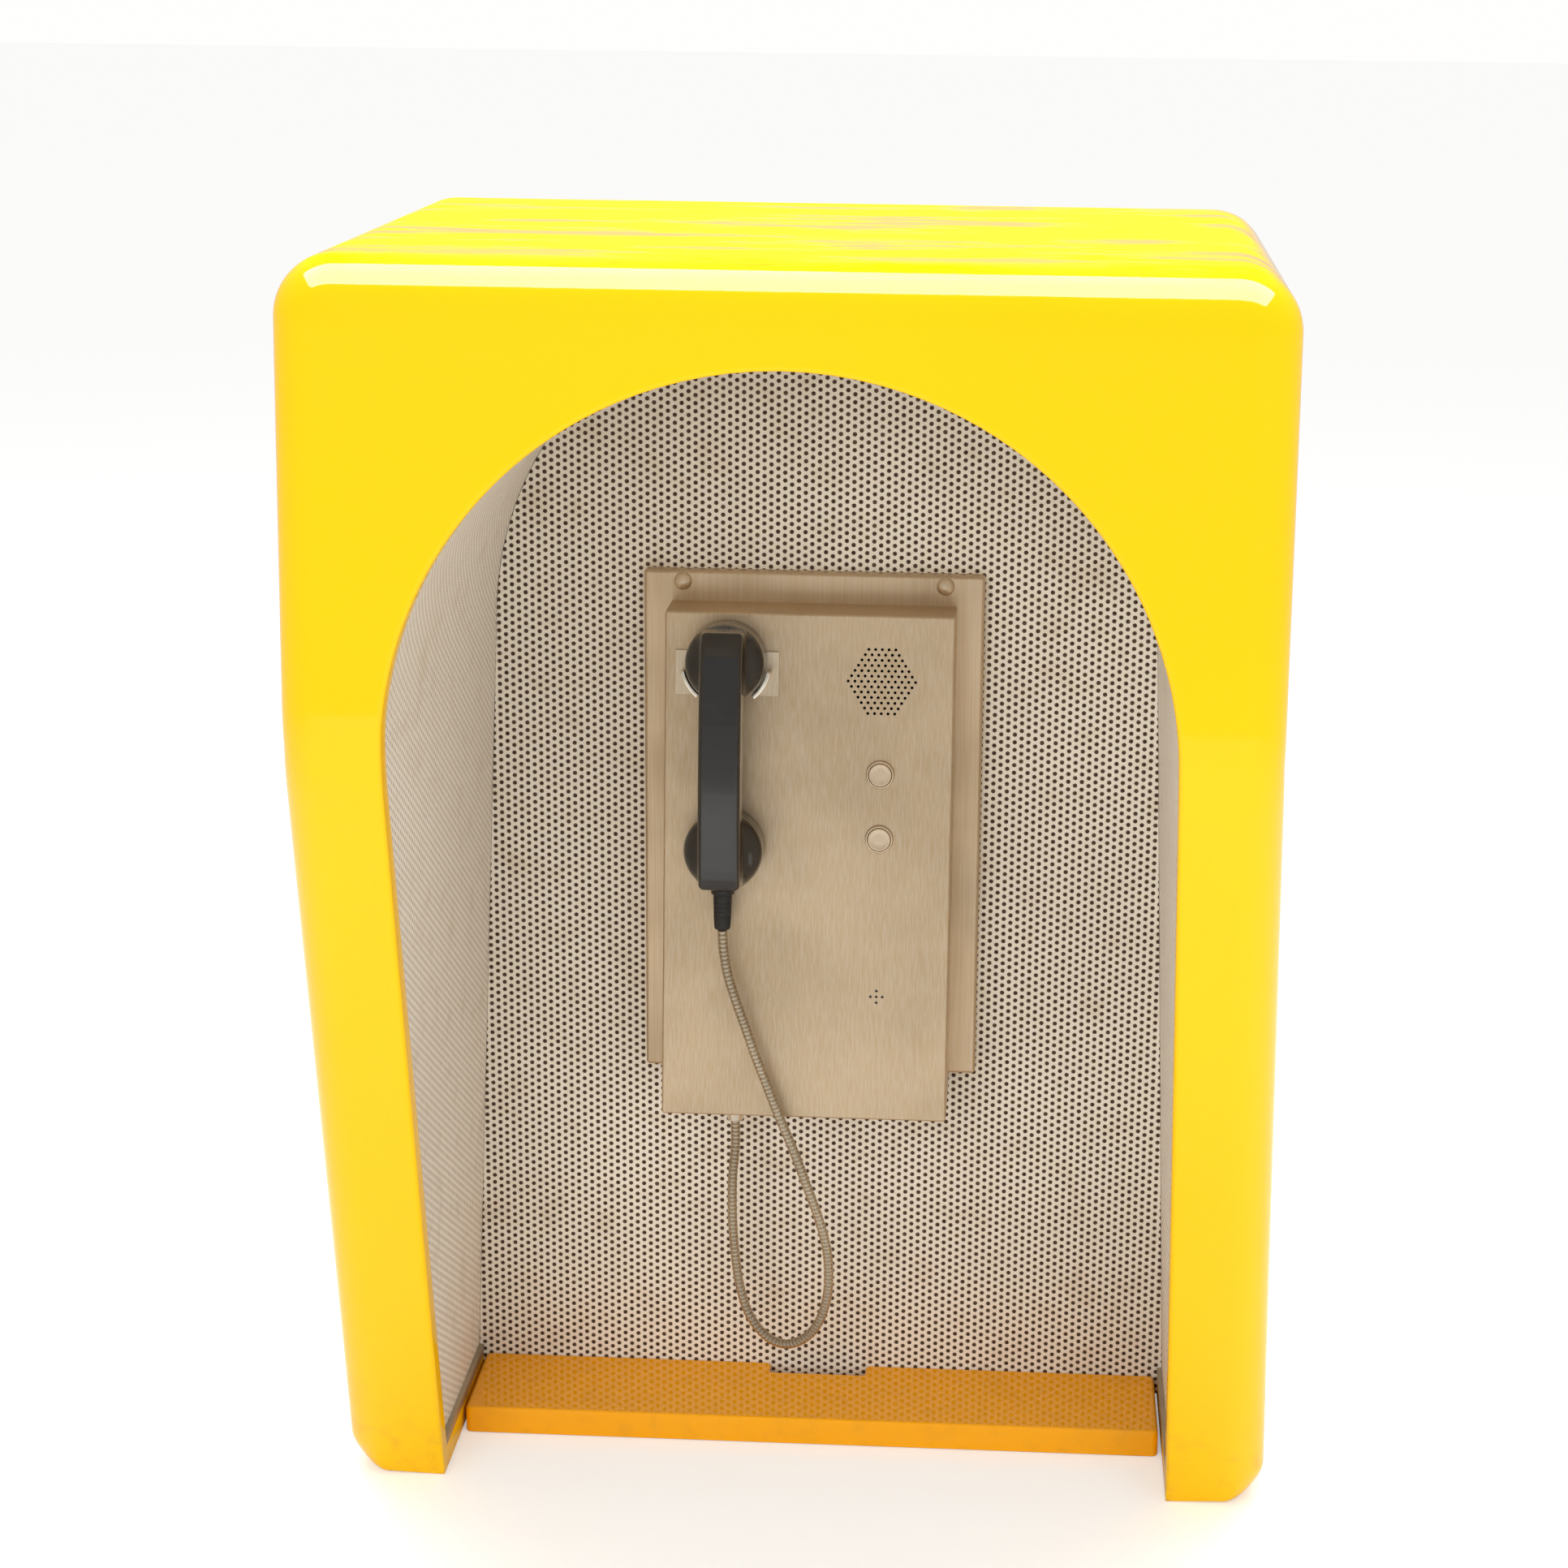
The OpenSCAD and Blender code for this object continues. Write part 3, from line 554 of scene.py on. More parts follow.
class Shape:
    """Points in millimetres and faces that are gathered into one mesh."""

    def __init__(self) -> None:
        """Starts with nothing."""
        self.points: list[np.ndarray] = []
        self.faces: list[tuple[int, ...]] = []
        self.count = 0

    def add(self, points: np.ndarray, faces: Iterable[Sequence[int]]) -> None:
        """Adds points and the faces between them.

        Args:
            points: Rows of x, y and z.
            faces: Indices from 0 into those rows.
        """
        base = self.count
        self.points.append(np.asarray(points, float).reshape(-1, 3))
        self.faces += [tuple(int(i) + base for i in f) for f in faces]
        self.count += len(self.points[-1])

    def sheet(self, grid: np.ndarray, wrap_rows: bool = False, wrap_columns: bool = False) -> None:
        """Adds a grid of quads.

        Args:
            grid: Rows by columns by 3.
            wrap_rows: Joins the last row to the first.
            wrap_columns: Joins the last column to the first.
        """
        rows, columns = grid.shape[:2]
        faces = []
        for i in range(rows if wrap_rows else rows - 1):
            for j in range(columns if wrap_columns else columns - 1):
                k, m = (i + 1) % rows, (j + 1) % columns
                faces.append((i * columns + j, i * columns + m, k * columns + m, k * columns + j))
        self.add(grid, faces)

    def lathe(self, profile: Sequence[tuple[float, float]], frame_at: Matrix, steps: int = 48) -> None:
        """Adds a body of revolution about a frame's Z axis.

        Args:
            profile: Radius and height, from one end on the axis to the other.
            frame_at: Where its origin and axis lie.
            steps: Sides.
        """
        turn = np.linspace(0, 2 * math.pi, steps, endpoint=False)
        grid = np.array([[(r * math.cos(a), r * math.sin(a), h) for a in turn] for r, h in profile])
        self.sheet(moved(grid, frame_at), wrap_columns=True)

    def prism(self, outline: Sequence[tuple[float, float]], low: float, high: float, frame_at: Matrix) -> None:
        """Adds an outline drawn out along a frame's Z axis.

        Args:
            outline: Corner points, in order.
            low: Start height.
            high: End height.
            frame_at: Frame that the outline lies in.
        """
        n = len(outline)
        points = np.array([(x, y, h) for h in (low, high) for x, y in outline])
        faces = [(i, (i + 1) % n, n + (i + 1) % n, n + i) for i in range(n)]
        faces += [tuple(range(n - 1, -1, -1)), tuple(range(n, 2 * n))]
        self.add(moved(points, frame_at), faces)

    def mesh(self, name: str) -> bpy.types.Mesh:
        """The gathered mesh in metres, with doubles merged and normals outward.

        Args:
            name: Name of the mesh.

        Returns:
            The mesh.
        """
        made = bpy.data.meshes.new(name)
        made.from_pydata((np.concatenate(self.points) * MM).tolist(), [], self.faces)
        work = bmesh.new()
        work.from_mesh(made)
        bmesh.ops.remove_doubles(work, verts=work.verts, dist=2e-7)
        bmesh.ops.dissolve_degenerate(work, edges=work.edges, dist=1e-8)
        bmesh.ops.recalc_face_normals(work, faces=work.faces)
        work.to_mesh(made)
        work.free()
        return made


def moved(points: np.ndarray, frame_at: Matrix) -> np.ndarray:
    """Points taken from a frame into the part's own.

    Args:
        points: Array whose last axis is x, y and z.
        frame_at: The frame.

    Returns:
        Array of the same shape.
    """
    m = np.array(frame_at, float)
    return np.asarray(points, float) @ m[:3, :3].T + m[:3, 3]


def place(
    name: str,
    mesh: bpy.types.Mesh,
    finish: object,
    body: str = ROOT,
    stands_for: Sequence[str] = (),
    sharp: float = 32.0,
) -> bpy.types.Object:
    """Puts a finished mesh on the part.

    Args:
        name: Name of the piece.
        mesh: Its mesh, in metres.
        finish: Finish that it gets.
        body: Body that it rides on, or an empty string to leave it on none.
        stands_for: CAD nodes that it replaces.
        sharp: Angle in degrees past which an edge shows sharp.

    Returns:
        The piece.
    """
    mesh.polygons.foreach_set("use_smooth", [True] * len(mesh.polygons))
    mesh.set_sharp_from_angle(angle=math.radians(sharp))
    mesh.materials.clear()
    mesh.materials.append(material_of(finish))
    piece = bpy.data.objects.new(name, mesh)
    bpy.context.scene.collection.objects.link(piece)
    if body:
        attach(piece, body)
    if stands_for:
        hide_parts(*stands_for)
    LOG.info("%s: %d faces on %s", name, len(mesh.polygons), body or "two bodies")
    return piece


def rounded(mesh: bpy.types.Mesh, radius: float, keep: Callable[[bmesh.types.BMEdge], bool], segments: int = 4) -> None:
    """Rounds the sharp edges of a mesh in place.

    Args:
        mesh: Mesh in metres.
        radius: Radius in millimetres.
        keep: Says which sharp edges are rounded.
        segments: Steps round the curve.
    """
    work = bmesh.new()
    work.from_mesh(mesh)
    bmesh.ops.dissolve_limit(work, angle_limit=0.001, verts=work.verts, edges=work.edges)
    edges = [e for e in work.edges if len(e.link_faces) == 2 and e.calc_face_angle() > 0.5 and keep(e)]
    bmesh.ops.bevel(
        work, geom=edges, offset=radius * MM, segments=segments, profile=0.5, affect="EDGES", clamp_overlap=True
    )
    work.to_mesh(mesh)
    work.free()


def worked(mesh: bpy.types.Mesh, cutter: bpy.types.Mesh | None = None, wall: float = 0.0) -> bpy.types.Mesh:
    """A mesh given a wall and cut by another.

    Args:
        mesh: Mesh in metres, used up.
        cutter: Closed mesh that is cut away.
        wall: Thickness in millimetres, inwards, or 0.

    Returns:
        The new mesh.
    """
    body = bpy.data.objects.new("work", mesh)
    bpy.context.scene.collection.objects.link(body)
    tool = None
    if wall:
        solid = body.modifiers.new("wall", "SOLIDIFY")
        solid.thickness, solid.offset, solid.use_even_offset = wall * MM, -1.0, True
    if cutter is not None:
        tool = bpy.data.objects.new("tool", cutter)
        bpy.context.scene.collection.objects.link(tool)
        cut = body.modifiers.new("cut", "BOOLEAN")
        cut.object, cut.operation, cut.solver = tool, "DIFFERENCE", "EXACT"
    graph = bpy.context.evaluated_depsgraph_get()
    made = bpy.data.meshes.new_from_object(body.evaluated_get(graph))
    for used in (body, tool):
        if used is not None:
            data = used.data
            bpy.data.objects.remove(used)
            bpy.data.meshes.remove(data)
    return made


def weighted(piece: bpy.types.Object) -> bpy.types.Object:
    """Adds weighted normals, so that flats between rounded edges stay flat."""
    modifier = piece.modifiers.new("flats", "WEIGHTED_NORMAL")
    modifier.keep_sharp, modifier.weight = True, 100
    return piece


# ---- Cord ----------------------------------------------------------------------------


@dataclass
class Cord:
    """Armoured cord from the handset's boot, round its loop and up to the gland."""

    points: tuple[tuple[float, float, float], ...] = (
        (-69, 111, 413), (-68, 110, 398), (-65, 109, 380), (-59, 108, 360), (-52, 108, 340),
        (-44, 107, 317), (-35, 107, 293), (-25, 107, 267), (-14, 107, 240), (-4, 108, 212), (5, 109, 186),
        (11, 111, 162), (13, 114, 138), (11, 118, 114), (4, 123, 92), (-8, 129, 76), (-23, 135, 69),
        (-38, 141, 73), (-51, 146, 88), (-59, 150, 111), (-63, 152, 139), (-65, 153, 168), (-65, 154, 198),
        (-63, 154.5, 224), (-63, 154.5, 247),
    )
    diameter: float = 7.4
    pitch: float = 3.2
    sides: int = 18
    rib: tuple[tuple[float, float], ...] = (
        (0.0, -0.62), (0.1, -0.18), (0.26, -0.02), (0.5, 0.0), (0.7, -0.06), (0.84, -0.24), (0.92, -0.62)
    )
    turn_from: tuple[float, float, float] = (-69, 209.5, 366)
    turn_to: tuple[float, float, float] = (-69, 111, 413)

    def line(self, steps: int = 16) -> np.ndarray:
        """The centre line as the CAD's curve runs, finely stepped.

        Args:
            steps: Steps from each point to the next.

        Returns:
            Points in millimetres.
        """
        p = np.array(self.points, float)
        n = len(p) - 1
        out = []
        for i in range(n):
            a, b, c, d = p[max(i - 1, 0)], p[i], p[i + 1], p[min(i + 2, n)]
            for t in np.arange(steps) / steps:
                out.append(
                    0.5 * (2 * b + (c - a) * t + (2 * a - 5 * b + 4 * c - d) * t**2 + (3 * b - 3 * c + d - a) * t**3)
                )
        return np.array(out + [p[-1]])

    def build(self) -> bpy.types.Object:
        """Returns:
            The piece.
        """
        line = self.line()
        run = np.concatenate([[0], np.cumsum(np.linalg.norm(np.diff(line, axis=0), axis=1))])
        length = run[-1]
        count = int(length // self.pitch)
        stops = [(0.0, -0.62)]
        stops += [((k + s) * length / count, depth) for k in range(count) for s, depth in self.rib]
        stops += [(length, -0.62)]
        at = np.array([s for s, _ in stops])
        centre = np.stack([np.interp(at, run, line[:, k]) for k in range(3)], axis=1)
        ahead = np.stack([np.interp(np.clip(at + 0.5, 0, length), run, line[:, k]) for k in range(3)], axis=1)
        back = np.stack([np.interp(np.clip(at - 0.5, 0, length), run, line[:, k]) for k in range(3)], axis=1)
        way = (ahead - back) / np.linalg.norm(ahead - back, axis=1)[:, None]
        side = np.cross(way, (0, 1, 0))
        side /= np.linalg.norm(side, axis=1)[:, None]
        other = np.cross(way, side)
        turn = np.linspace(0, 2 * math.pi, self.sides, endpoint=False)
        radius = self.diameter / 2 + np.array([d for _, d in stops])
        grid = centre[:, None] + radius[:, None, None] * (
            np.cos(turn)[None, :, None] * side[:, None] + np.sin(turn)[None, :, None] * other[:, None]
        )
        shape = Shape()
        shape.sheet(grid, wrap_columns=True)
        last = len(stops) - 1
        shape.faces.append(tuple(range(self.sides - 1, -1, -1)))
        shape.faces.append(tuple(last * self.sides + k for k in range(self.sides)))
        piece = place("cord", shape.mesh("cord"), ARMOUR, "", ("armoured_cord",), 50)
        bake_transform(piece)
        LOG.info("cord is %.1f mm long", length)
        return piece


# ---- Hood ----------------------------------------------------------------------------


@dataclass
class HoodForm:
    """Sizes and curves of the hood that its shell, lining and shelf share."""

    height: float = 941
    width: float = 626
    foot_width: float = 680
    depth: float = 495
    top_depth: float = 481
    foot_depth: float = 213
    bend: float = 632
    draft: float = 10
    wall: float = 5
    corner_r: float = 40
    edge_r: float = 28
    foot_r: float = 30
    cheek: float = 66
    crown: float = 65
    leg: float = 68
    lip_depth: float = 16
    lip: float = 4
    upstand: float = 20
    board: float = 12
    lining_gap: float = 45
    fit: float = 0.5
    soft: float = 30

    @property
    def wall_y(self) -> float:
        """Plane of the wall."""
        return self.depth / 2

    @property
    def lining_y(self) -> float:
        """Face of the back lining."""
        return self.wall_y - self.lining_gap

    @property
    def arch_r(self) -> float:
        """Radius of the opening's arch."""
        return self.width / 2 - self.cheek

    @property
    def arch_z(self) -> float:
        """Height of the arch's centre."""
        return self.height - self.crown - self.arch_r

    @property
    def mouth(self) -> float:
        """Half width of the opening at the foot."""
        return self.foot_width / 2 - self.leg

    @property
    def lean(self) -> float:
        """Lean of the opening's legs, in radians."""
        return math.acos(self.arch_r / math.hypot(self.mouth, self.arch_z)) - math.atan2(self.arch_z, self.mouth)

    def face_depth(self, z: np.ndarray) -> np.ndarray:
        """Distance from the wall to the front face, with the bend softened.

        Args:
            z: Heights.

        Returns:
            Distances.
        """
        low = self.foot_depth + (self.depth - self.foot_depth) * z / self.bend
        high = self.depth + (self.top_depth - self.depth) * (z - self.bend) / (self.height - self.bend)
        rise = (self.depth - self.foot_depth) / self.bend + (self.depth - self.top_depth) / (self.height - self.bend)
        reach = self.soft * rise
        share = np.maximum(reach - np.abs(low - high), 0) / reach
        return np.minimum(low, high) - share**2 * reach / 4

    def side(self, z: np.ndarray) -> np.ndarray:
        """Half width of the hood at each height."""
        return np.maximum(self.width / 2, self.foot_width / 2 + (self.width - self.foot_width) / 2 * z / self.bend)

    def leg_x(self, out: float, z: np.ndarray) -> np.ndarray:
        """Half width of the opening's leg, grown by out, at each height."""
        return (self.arch_r + out + (self.arch_z - z) * math.sin(self.lean)) / math.cos(self.lean)

    def arch_line(self, out: float, low: float, step: float = 8.0) -> np.ndarray:
        """The opening's outline grown by out, from the right foot over to the left one.

        Args:
            out: Growth.
            low: Height of both ends.
            step: Spacing on the legs.

        Returns:
            Rows of x and z.
        """
        top = self.arch_z + (self.arch_r + out) * math.sin(self.lean)
        z = np.linspace(low, top, int((top - low) / step))[:-1]
        leg = np.stack([self.leg_x(out, z), z], axis=1)
        a = np.linspace(self.lean, math.pi - self.lean, 120)
        arc = np.stack([(self.arch_r + out) * np.cos(a), self.arch_z + (self.arch_r + out) * np.sin(a)], axis=1)
        return np.concatenate([leg, arc, leg[::-1] * (-1, 1)])


@dataclass
class Shell:
    """The moulded shell: roof, sides, front face with its arch, returned lip, leg floors and upstands."""

    form: HoodForm = field(default_factory=HoodForm)
    floor_r: float = 3.5
    mouth_r: float = 3.0
    rows: int = 14

    def half(self) -> dict[str, np.ndarray]:
        """Right half of the outline from the leg's inner bottom corner to the middle of the roof.

        Returns:
            Arrays by name: place and normal as x and z, roll radius, share of the draft, and place along the opening.
        """
        f = self.form
        centre_x = float(f.side(np.array(f.foot_r))) - f.foot_r
        floor_x = np.linspace(f.mouth, centre_x, 9)[:-1]
        arc = np.radians(np.linspace(-90, 0, 18))[:-1]
        top = f.height - f.corner_r
        z = np.unique(np.concatenate([np.linspace(f.foot_r, top, 54), np.linspace(f.bend - 42, f.bend + 42, 29)]))
        corner = np.radians(np.linspace(0, 90, 26))[1:-1]
        roof_x = np.linspace(f.width / 2 - f.corner_r, 0, 15)
        place_at = np.concatenate([
            np.stack([floor_x, 0 * floor_x], axis=1),
            np.stack([centre_x + f.foot_r * np.cos(arc), f.foot_r + f.foot_r * np.sin(arc)], axis=1),
            np.stack([f.side(z), z], axis=1),
            np.stack([f.width / 2 - f.corner_r + f.corner_r * np.cos(corner), top + f.corner_r * np.sin(corner)], axis=1),
            np.stack([roof_x, 0 * roof_x + f.height], axis=1),
        ])
        normal = np.concatenate([
            np.tile((0.0, -1.0), (len(floor_x), 1)),
            np.stack([np.cos(arc), np.sin(arc)], axis=1),
            np.tile((1.0, 0.0), (len(z), 1)),
            np.stack([np.cos(corner), np.sin(corner)], axis=1),
            np.tile((0.0, 1.0), (len(roof_x), 1)),
        ])
        share = (floor_x - f.mouth) / (centre_x - f.mouth)
        turn = np.cos(arc) ** 2 * (3 - 2 * np.cos(arc))
        rest = len(place_at) - len(floor_x) - len(arc)
        roll = np.concatenate([self.floor_r * share, self.floor_r + (f.edge_r - self.floor_r) * turn, np.full(rest, f.edge_r)])
        draft = np.concatenate([share, np.ones(len(place_at) - len(share))])
        draft *= np.clip(place_at[:, 0] / (f.width / 2 - f.corner_r), -1, 1)
        along = np.concatenate([[0], np.cumsum(np.linalg.norm(np.diff(place_at, axis=0), axis=1))])
        angle = np.arctan2(place_at[:, 1] - f.arch_z, place_at[:, 0])
        reach = np.interp(0.0, angle, along)
        lift = np.where(angle < 0, along / reach, 1.0)
        return {"at": place_at, "normal": normal, "roll": roll, "draft": draft, "angle": angle, "lift": lift,
                "floor": np.arange(len(place_at)) < len(floor_x)}

    def opening(self, half: dict[str, np.ndarray], out: np.ndarray, low: float) -> np.ndarray:
        """Points on the opening, grown by out, that go with the outline's points.

        Args:
            half: The outline.
            out: Growth at each point.
            low: Height of the lowest one.

        Returns:
            Rows of x and z.
        """
        f = self.form
        radius = f.arch_r + out
        angle = np.maximum(half["angle"], 0)
        reach = np.where(angle < f.lean, radius / np.cos(angle - f.lean), radius)
        upper = np.stack([reach * np.cos(angle), f.arch_z + reach * np.sin(angle)], axis=1)
        z = low + (f.arch_z - low) * half["lift"]
        lower = np.stack([(radius + (f.arch_z - z) * math.sin(f.lean)) / math.cos(f.lean), z], axis=1)
        return np.where((half["angle"] < 0)[:, None], lower, upper)

    def ring(self, half: dict[str, np.ndarray], at: np.ndarray, deep: np.ndarray, drafted: bool) -> np.ndarray:
        """One ring of the shell from x and z and the distance from the wall.

        Args:
            half: The outline.
            at: Rows of x and z.
            deep: Distance from the wall at each.
            drafted: Whether the sides' draft applies.

        Returns:
            Points of the right half and then the left.
        """
        f = self.form
        x = at[:, 0] + (half["draft"] * f.draft * (1 - deep / f.depth) if drafted else 0)
        right = np.stack([x, f.wall_y - deep, at[:, 1]], axis=1)
        return np.concatenate([right, right[-2::-1] * (-1, 1, 1)])

    def build(self) -> bpy.types.Object:
        """Makes the shell.

        Returns:
            The piece.
        """
        f, h = self.form, self.half()
        at, normal, roll = h["at"], h["normal"], h["roll"][:, None]
        depth_of = f.face_depth
        inner_at = at - f.wall * normal
        span = np.interp(at[:, 0], (f.mouth, at[~h["floor"]][0, 0]), (float(f.leg_x(f.lip, np.array(f.wall))), at[~h["floor"]][0, 0]))
        inner_at[h["floor"], 0] = span[h["floor"]]
        lip_edge = depth_of(at[:, 1]) - np.maximum(h["roll"], f.lip_depth)
        shares = np.linspace(0, 1, 6)
        rings = [self.ring(h, at, s * lip_edge, True) for s in shares]
        for turn in np.radians(np.linspace(0, 90, 11)):
            p = at - normal * roll * (1 - math.cos(turn))
            rings.append(self.ring(h, p, depth_of(p[:, 1]) - h["roll"] * (1 - math.sin(turn)), True))
        mouth_r = self.mouth_r * np.minimum(1, h["lift"] * f.arch_z / 25)
        start, goal = at - normal * roll, self.opening(h, mouth_r, 0.0)
        start_x = start[:, 0] + h["draft"] * f.draft * (1 - depth_of(start[:, 1]) / f.depth)
        face_edge = np.stack([start_x, start[:, 1]], axis=1)
        for s in np.linspace(0, 1, self.rows + 1)[1:]:
            p = face_edge * (1 - s) + goal * s
            rings.append(self.ring(h, p, depth_of(p[:, 1]), False))
        for turn in np.radians(np.linspace(0, 90, 6))[1:]:
            p = self.opening(h, mouth_r * (1 - math.sin(turn)), 0.0)
            rings.append(self.ring(h, p, depth_of(p[:, 1]) - mouth_r * (1 - math.cos(turn)), False))
        inside = self.opening(h, 0 * mouth_r, 0.0)
        rings.append(self.ring(h, inside, depth_of(inside[:, 1]) - f.lip_depth, False))
        outside = self.opening(h, 0 * mouth_r + f.lip, f.wall)
        rings.append(self.ring(h, outside, depth_of(outside[:, 1]) - f.lip_depth, False))
        rings.append(self.ring(h, outside, depth_of(outside[:, 1]) - f.wall, False))
        inner_roll = np.maximum(h["roll"] - f.wall, 0)[:, None]
        end = inner_at - normal * inner_roll
        end_x = end[:, 0] + h["draft"] * f.draft * (1 - depth_of(end[:, 1]) / f.depth)
        end_edge = np.stack([end_x, end[:, 1]], axis=1)
        for s in np.linspace(0, 1, 6)[1:]:
            p = outside * (1 - s) + end_edge * s
            rings.append(self.ring(h, p, depth_of(p[:, 1]) - f.wall, False))
        for turn in np.radians(np.linspace(90, 0, 6))[1:]:
            p = inner_at - normal * inner_roll * (1 - math.cos(turn))
            rings.append(self.ring(h, p, depth_of(p[:, 1]) - f.wall - inner_roll[:, 0] * (1 - math.sin(turn)), True))
        inner_edge = depth_of(inner_at[:, 1]) - np.maximum(f.wall + inner_roll[:, 0], f.lip_depth)
        rings += [self.ring(h, inner_at, s * inner_edge, True) for s in shares[::-1]]
        grid = np.array(rings)
        shape = Shape()
        shape.sheet(grid, wrap_rows=True)
        rows, columns = grid.shape[:2]
        for j in (0, columns - 1):
            for k in range(len(shares) - 1):
                low, high = k * columns + j, (rows - 1 - k) * columns + j
                shape.faces.append((low, low + columns, high - columns, high))
        self.upstands(shape)
        return place("hood", shape.mesh("hood"), YELLOW, ROOT, ("hood_shell",), 40)

    def upstands(self, shape: Shape) -> None:
        """Adds the upstand along the bottom of each leg.

        Args:
            shape: Shape that they are added to.
        """
        f = self.form
        section = [(0.0, 2.0), (0.0, f.upstand - 1.2), (0.4, f.upstand - 0.3), (1.2, f.upstand),
                   (f.lip - 1.2, f.upstand), (f.lip - 0.4, f.upstand - 0.3), (f.lip, f.upstand - 1.2), (f.lip, 2.0)]
        for sign in (1, -1):
            ends = []
            for front in (False, True):
                ring = []
                for out, z in section:
                    deep = float(f.face_depth(np.array(z))) - f.lip_depth if front else f.lining_gap
                    ring.append((sign * float(f.leg_x(out, np.array(z))), f.wall_y - deep, z))
                ends.append(ring)
            n = len(section)
            faces = [(i, (i + 1) % n, n + (i + 1) % n, n + i) for i in range(n)]
            shape.add(np.array(ends), faces + [tuple(range(n)), tuple(range(2 * n - 1, n - 1, -1))])


@dataclass
class Lining:
    """Perforated lining round the sides and the arch, rolled from one sheet."""

    form: HoodForm = field(default_factory=HoodForm)
    thickness: float = 1.5

    def build(self) -> bpy.types.Object:
        """Makes the rolled sheet with its own map for the perforation.

        Returns:
            The piece.
        """
        f = self.form
        low = f.wall + f.fit
        inner = f.arch_line(f.lip, low)
        outer = f.arch_line(f.lip + self.thickness, low)
        run = np.concatenate([[0], np.cumsum(np.linalg.norm(np.diff(inner, axis=0), axis=1))])
        front = f.wall_y - f.face_depth(inner[:, 1]) + f.wall + f.fit
        back = np.full(len(inner), f.wall_y - f.board - f.fit)
        rings = []
        for line, deep in ((inner, back), (inner, front), (outer, front), (outer, back)):
            rings.append(np.stack([line[:, 0], deep, line[:, 1]], axis=1))
        grid = np.array(rings)
        columns = grid.shape[1]
        made = bpy.data.meshes.new("lining_sides")
        faces = []
        for i in range(4):
            for j in range(columns - 1):
                k = (i + 1) % 4
                faces.append((i * columns + j, k * columns + j, k * columns + j + 1, i * columns + j + 1))
        faces += [tuple(i * columns for i in range(4)), tuple(i * columns + columns - 1 for i in (3, 2, 1, 0))]
        made.from_pydata((grid.reshape(-1, 3) * MM).tolist(), [], faces)
        work = bmesh.new()
        work.from_mesh(made)
        bmesh.ops.recalc_face_normals(work, faces=work.faces)
        work.to_mesh(made)
        work.free()
        layer = made.uv_layers.new(name="sheet")
        for loop in made.loops:
            v = loop.vertex_index
            layer.data[loop.index].uv = (run[v % columns] * MM, grid.reshape(-1, 3)[v, 1] * MM)
        return place("lining_sides", made, LINING_WRAP, ROOT, ("lining_wrap",), 40)


@dataclass
class Shelf:
    """Low shelf with rounded edges and a cable notch at its back."""

    form: HoodForm = field(default_factory=HoodForm)
    depth: float = 98
    height: float = 21
    wall: float = 4
    gap: float = 3
    notch_w: float = 76
    notch_d: float = 17
    edge: float = 2.6
    corner: float = 4.4

    def outline(self) -> np.ndarray:
        """Plan outline with rounded corners, anticlockwise from the back left.

        Returns:
            Rows of x and y.
        """
        f = self.form
        x = float(f.leg_x(0, np.array(self.height / 2))) - self.gap
        back, front, notch = f.lining_y, f.lining_y - self.depth, f.lining_y - self.notch_d
        corners = [(-x, front, self.corner), (x, front, self.corner), (x, back, self.corner), (self.notch_w / 2, back, self.corner),
                   (self.notch_w / 2, notch, 3.0), (-self.notch_w / 2, notch, 3.0), (-self.notch_w / 2, back, self.corner), (-x, back, self.corner)]
        out = []
        n = len(corners)
        for i, (cx, cy, r) in enumerate(corners):
            here, before, after = (np.array(corners[k % n][:2], float) for k in (i, i - 1, i + 1))
            a, b = (before - here) / np.linalg.norm(before - here), (after - here) / np.linalg.norm(after - here)
            for t in np.linspace(0, 1, 7):
                angle = t * math.pi / 2
                out.append(here + r * (a * (1 - math.sin(angle)) + b * (1 - math.cos(angle))))
        return np.array(out)

    def build(self) -> bpy.types.Object:
        """Makes the shelf.

        Returns:
            The piece.
        """
        line = self.outline()
        ahead, behind = np.roll(line, -1, axis=0), np.roll(line, 1, axis=0)
        way = (ahead - behind) / np.linalg.norm(ahead - behind, axis=1)[:, None]
        inward = np.stack([-way[:, 1], way[:, 0]], axis=1)
        rings = []

        def ring(inset: float, z: float) -> None:
            p = line + inward * inset
            rings.append(np.column_stack([p, np.full(len(p), z)]))

        ring(self.wall, self.height - self.wall)
        ring(self.wall, 0.0)
        ring(0.6, 0.0)
        ring(0.0, 0.6)
        ring(0.0, self.height - self.edge)
        for turn in np.radians(np.linspace(0, 90, 7))[1:]:
            ring(self.edge * (1 - math.cos(turn)), self.height - self.edge * (1 - math.sin(turn)))
        shape = Shape()
        shape.sheet(np.array(rings), wrap_columns=True)
        n = len(line)
        shape.faces.append(tuple(range(n)))
        shape.faces.append(tuple((len(rings) - 1) * n + k for k in range(n)))
        return weighted(place("shelf_top", shape.mesh("shelf_top"), SHELF_YELLOW_SHADED, ROOT, ("shelf",), 50))


# ---- Telephone -----------------------------------------------------------------------


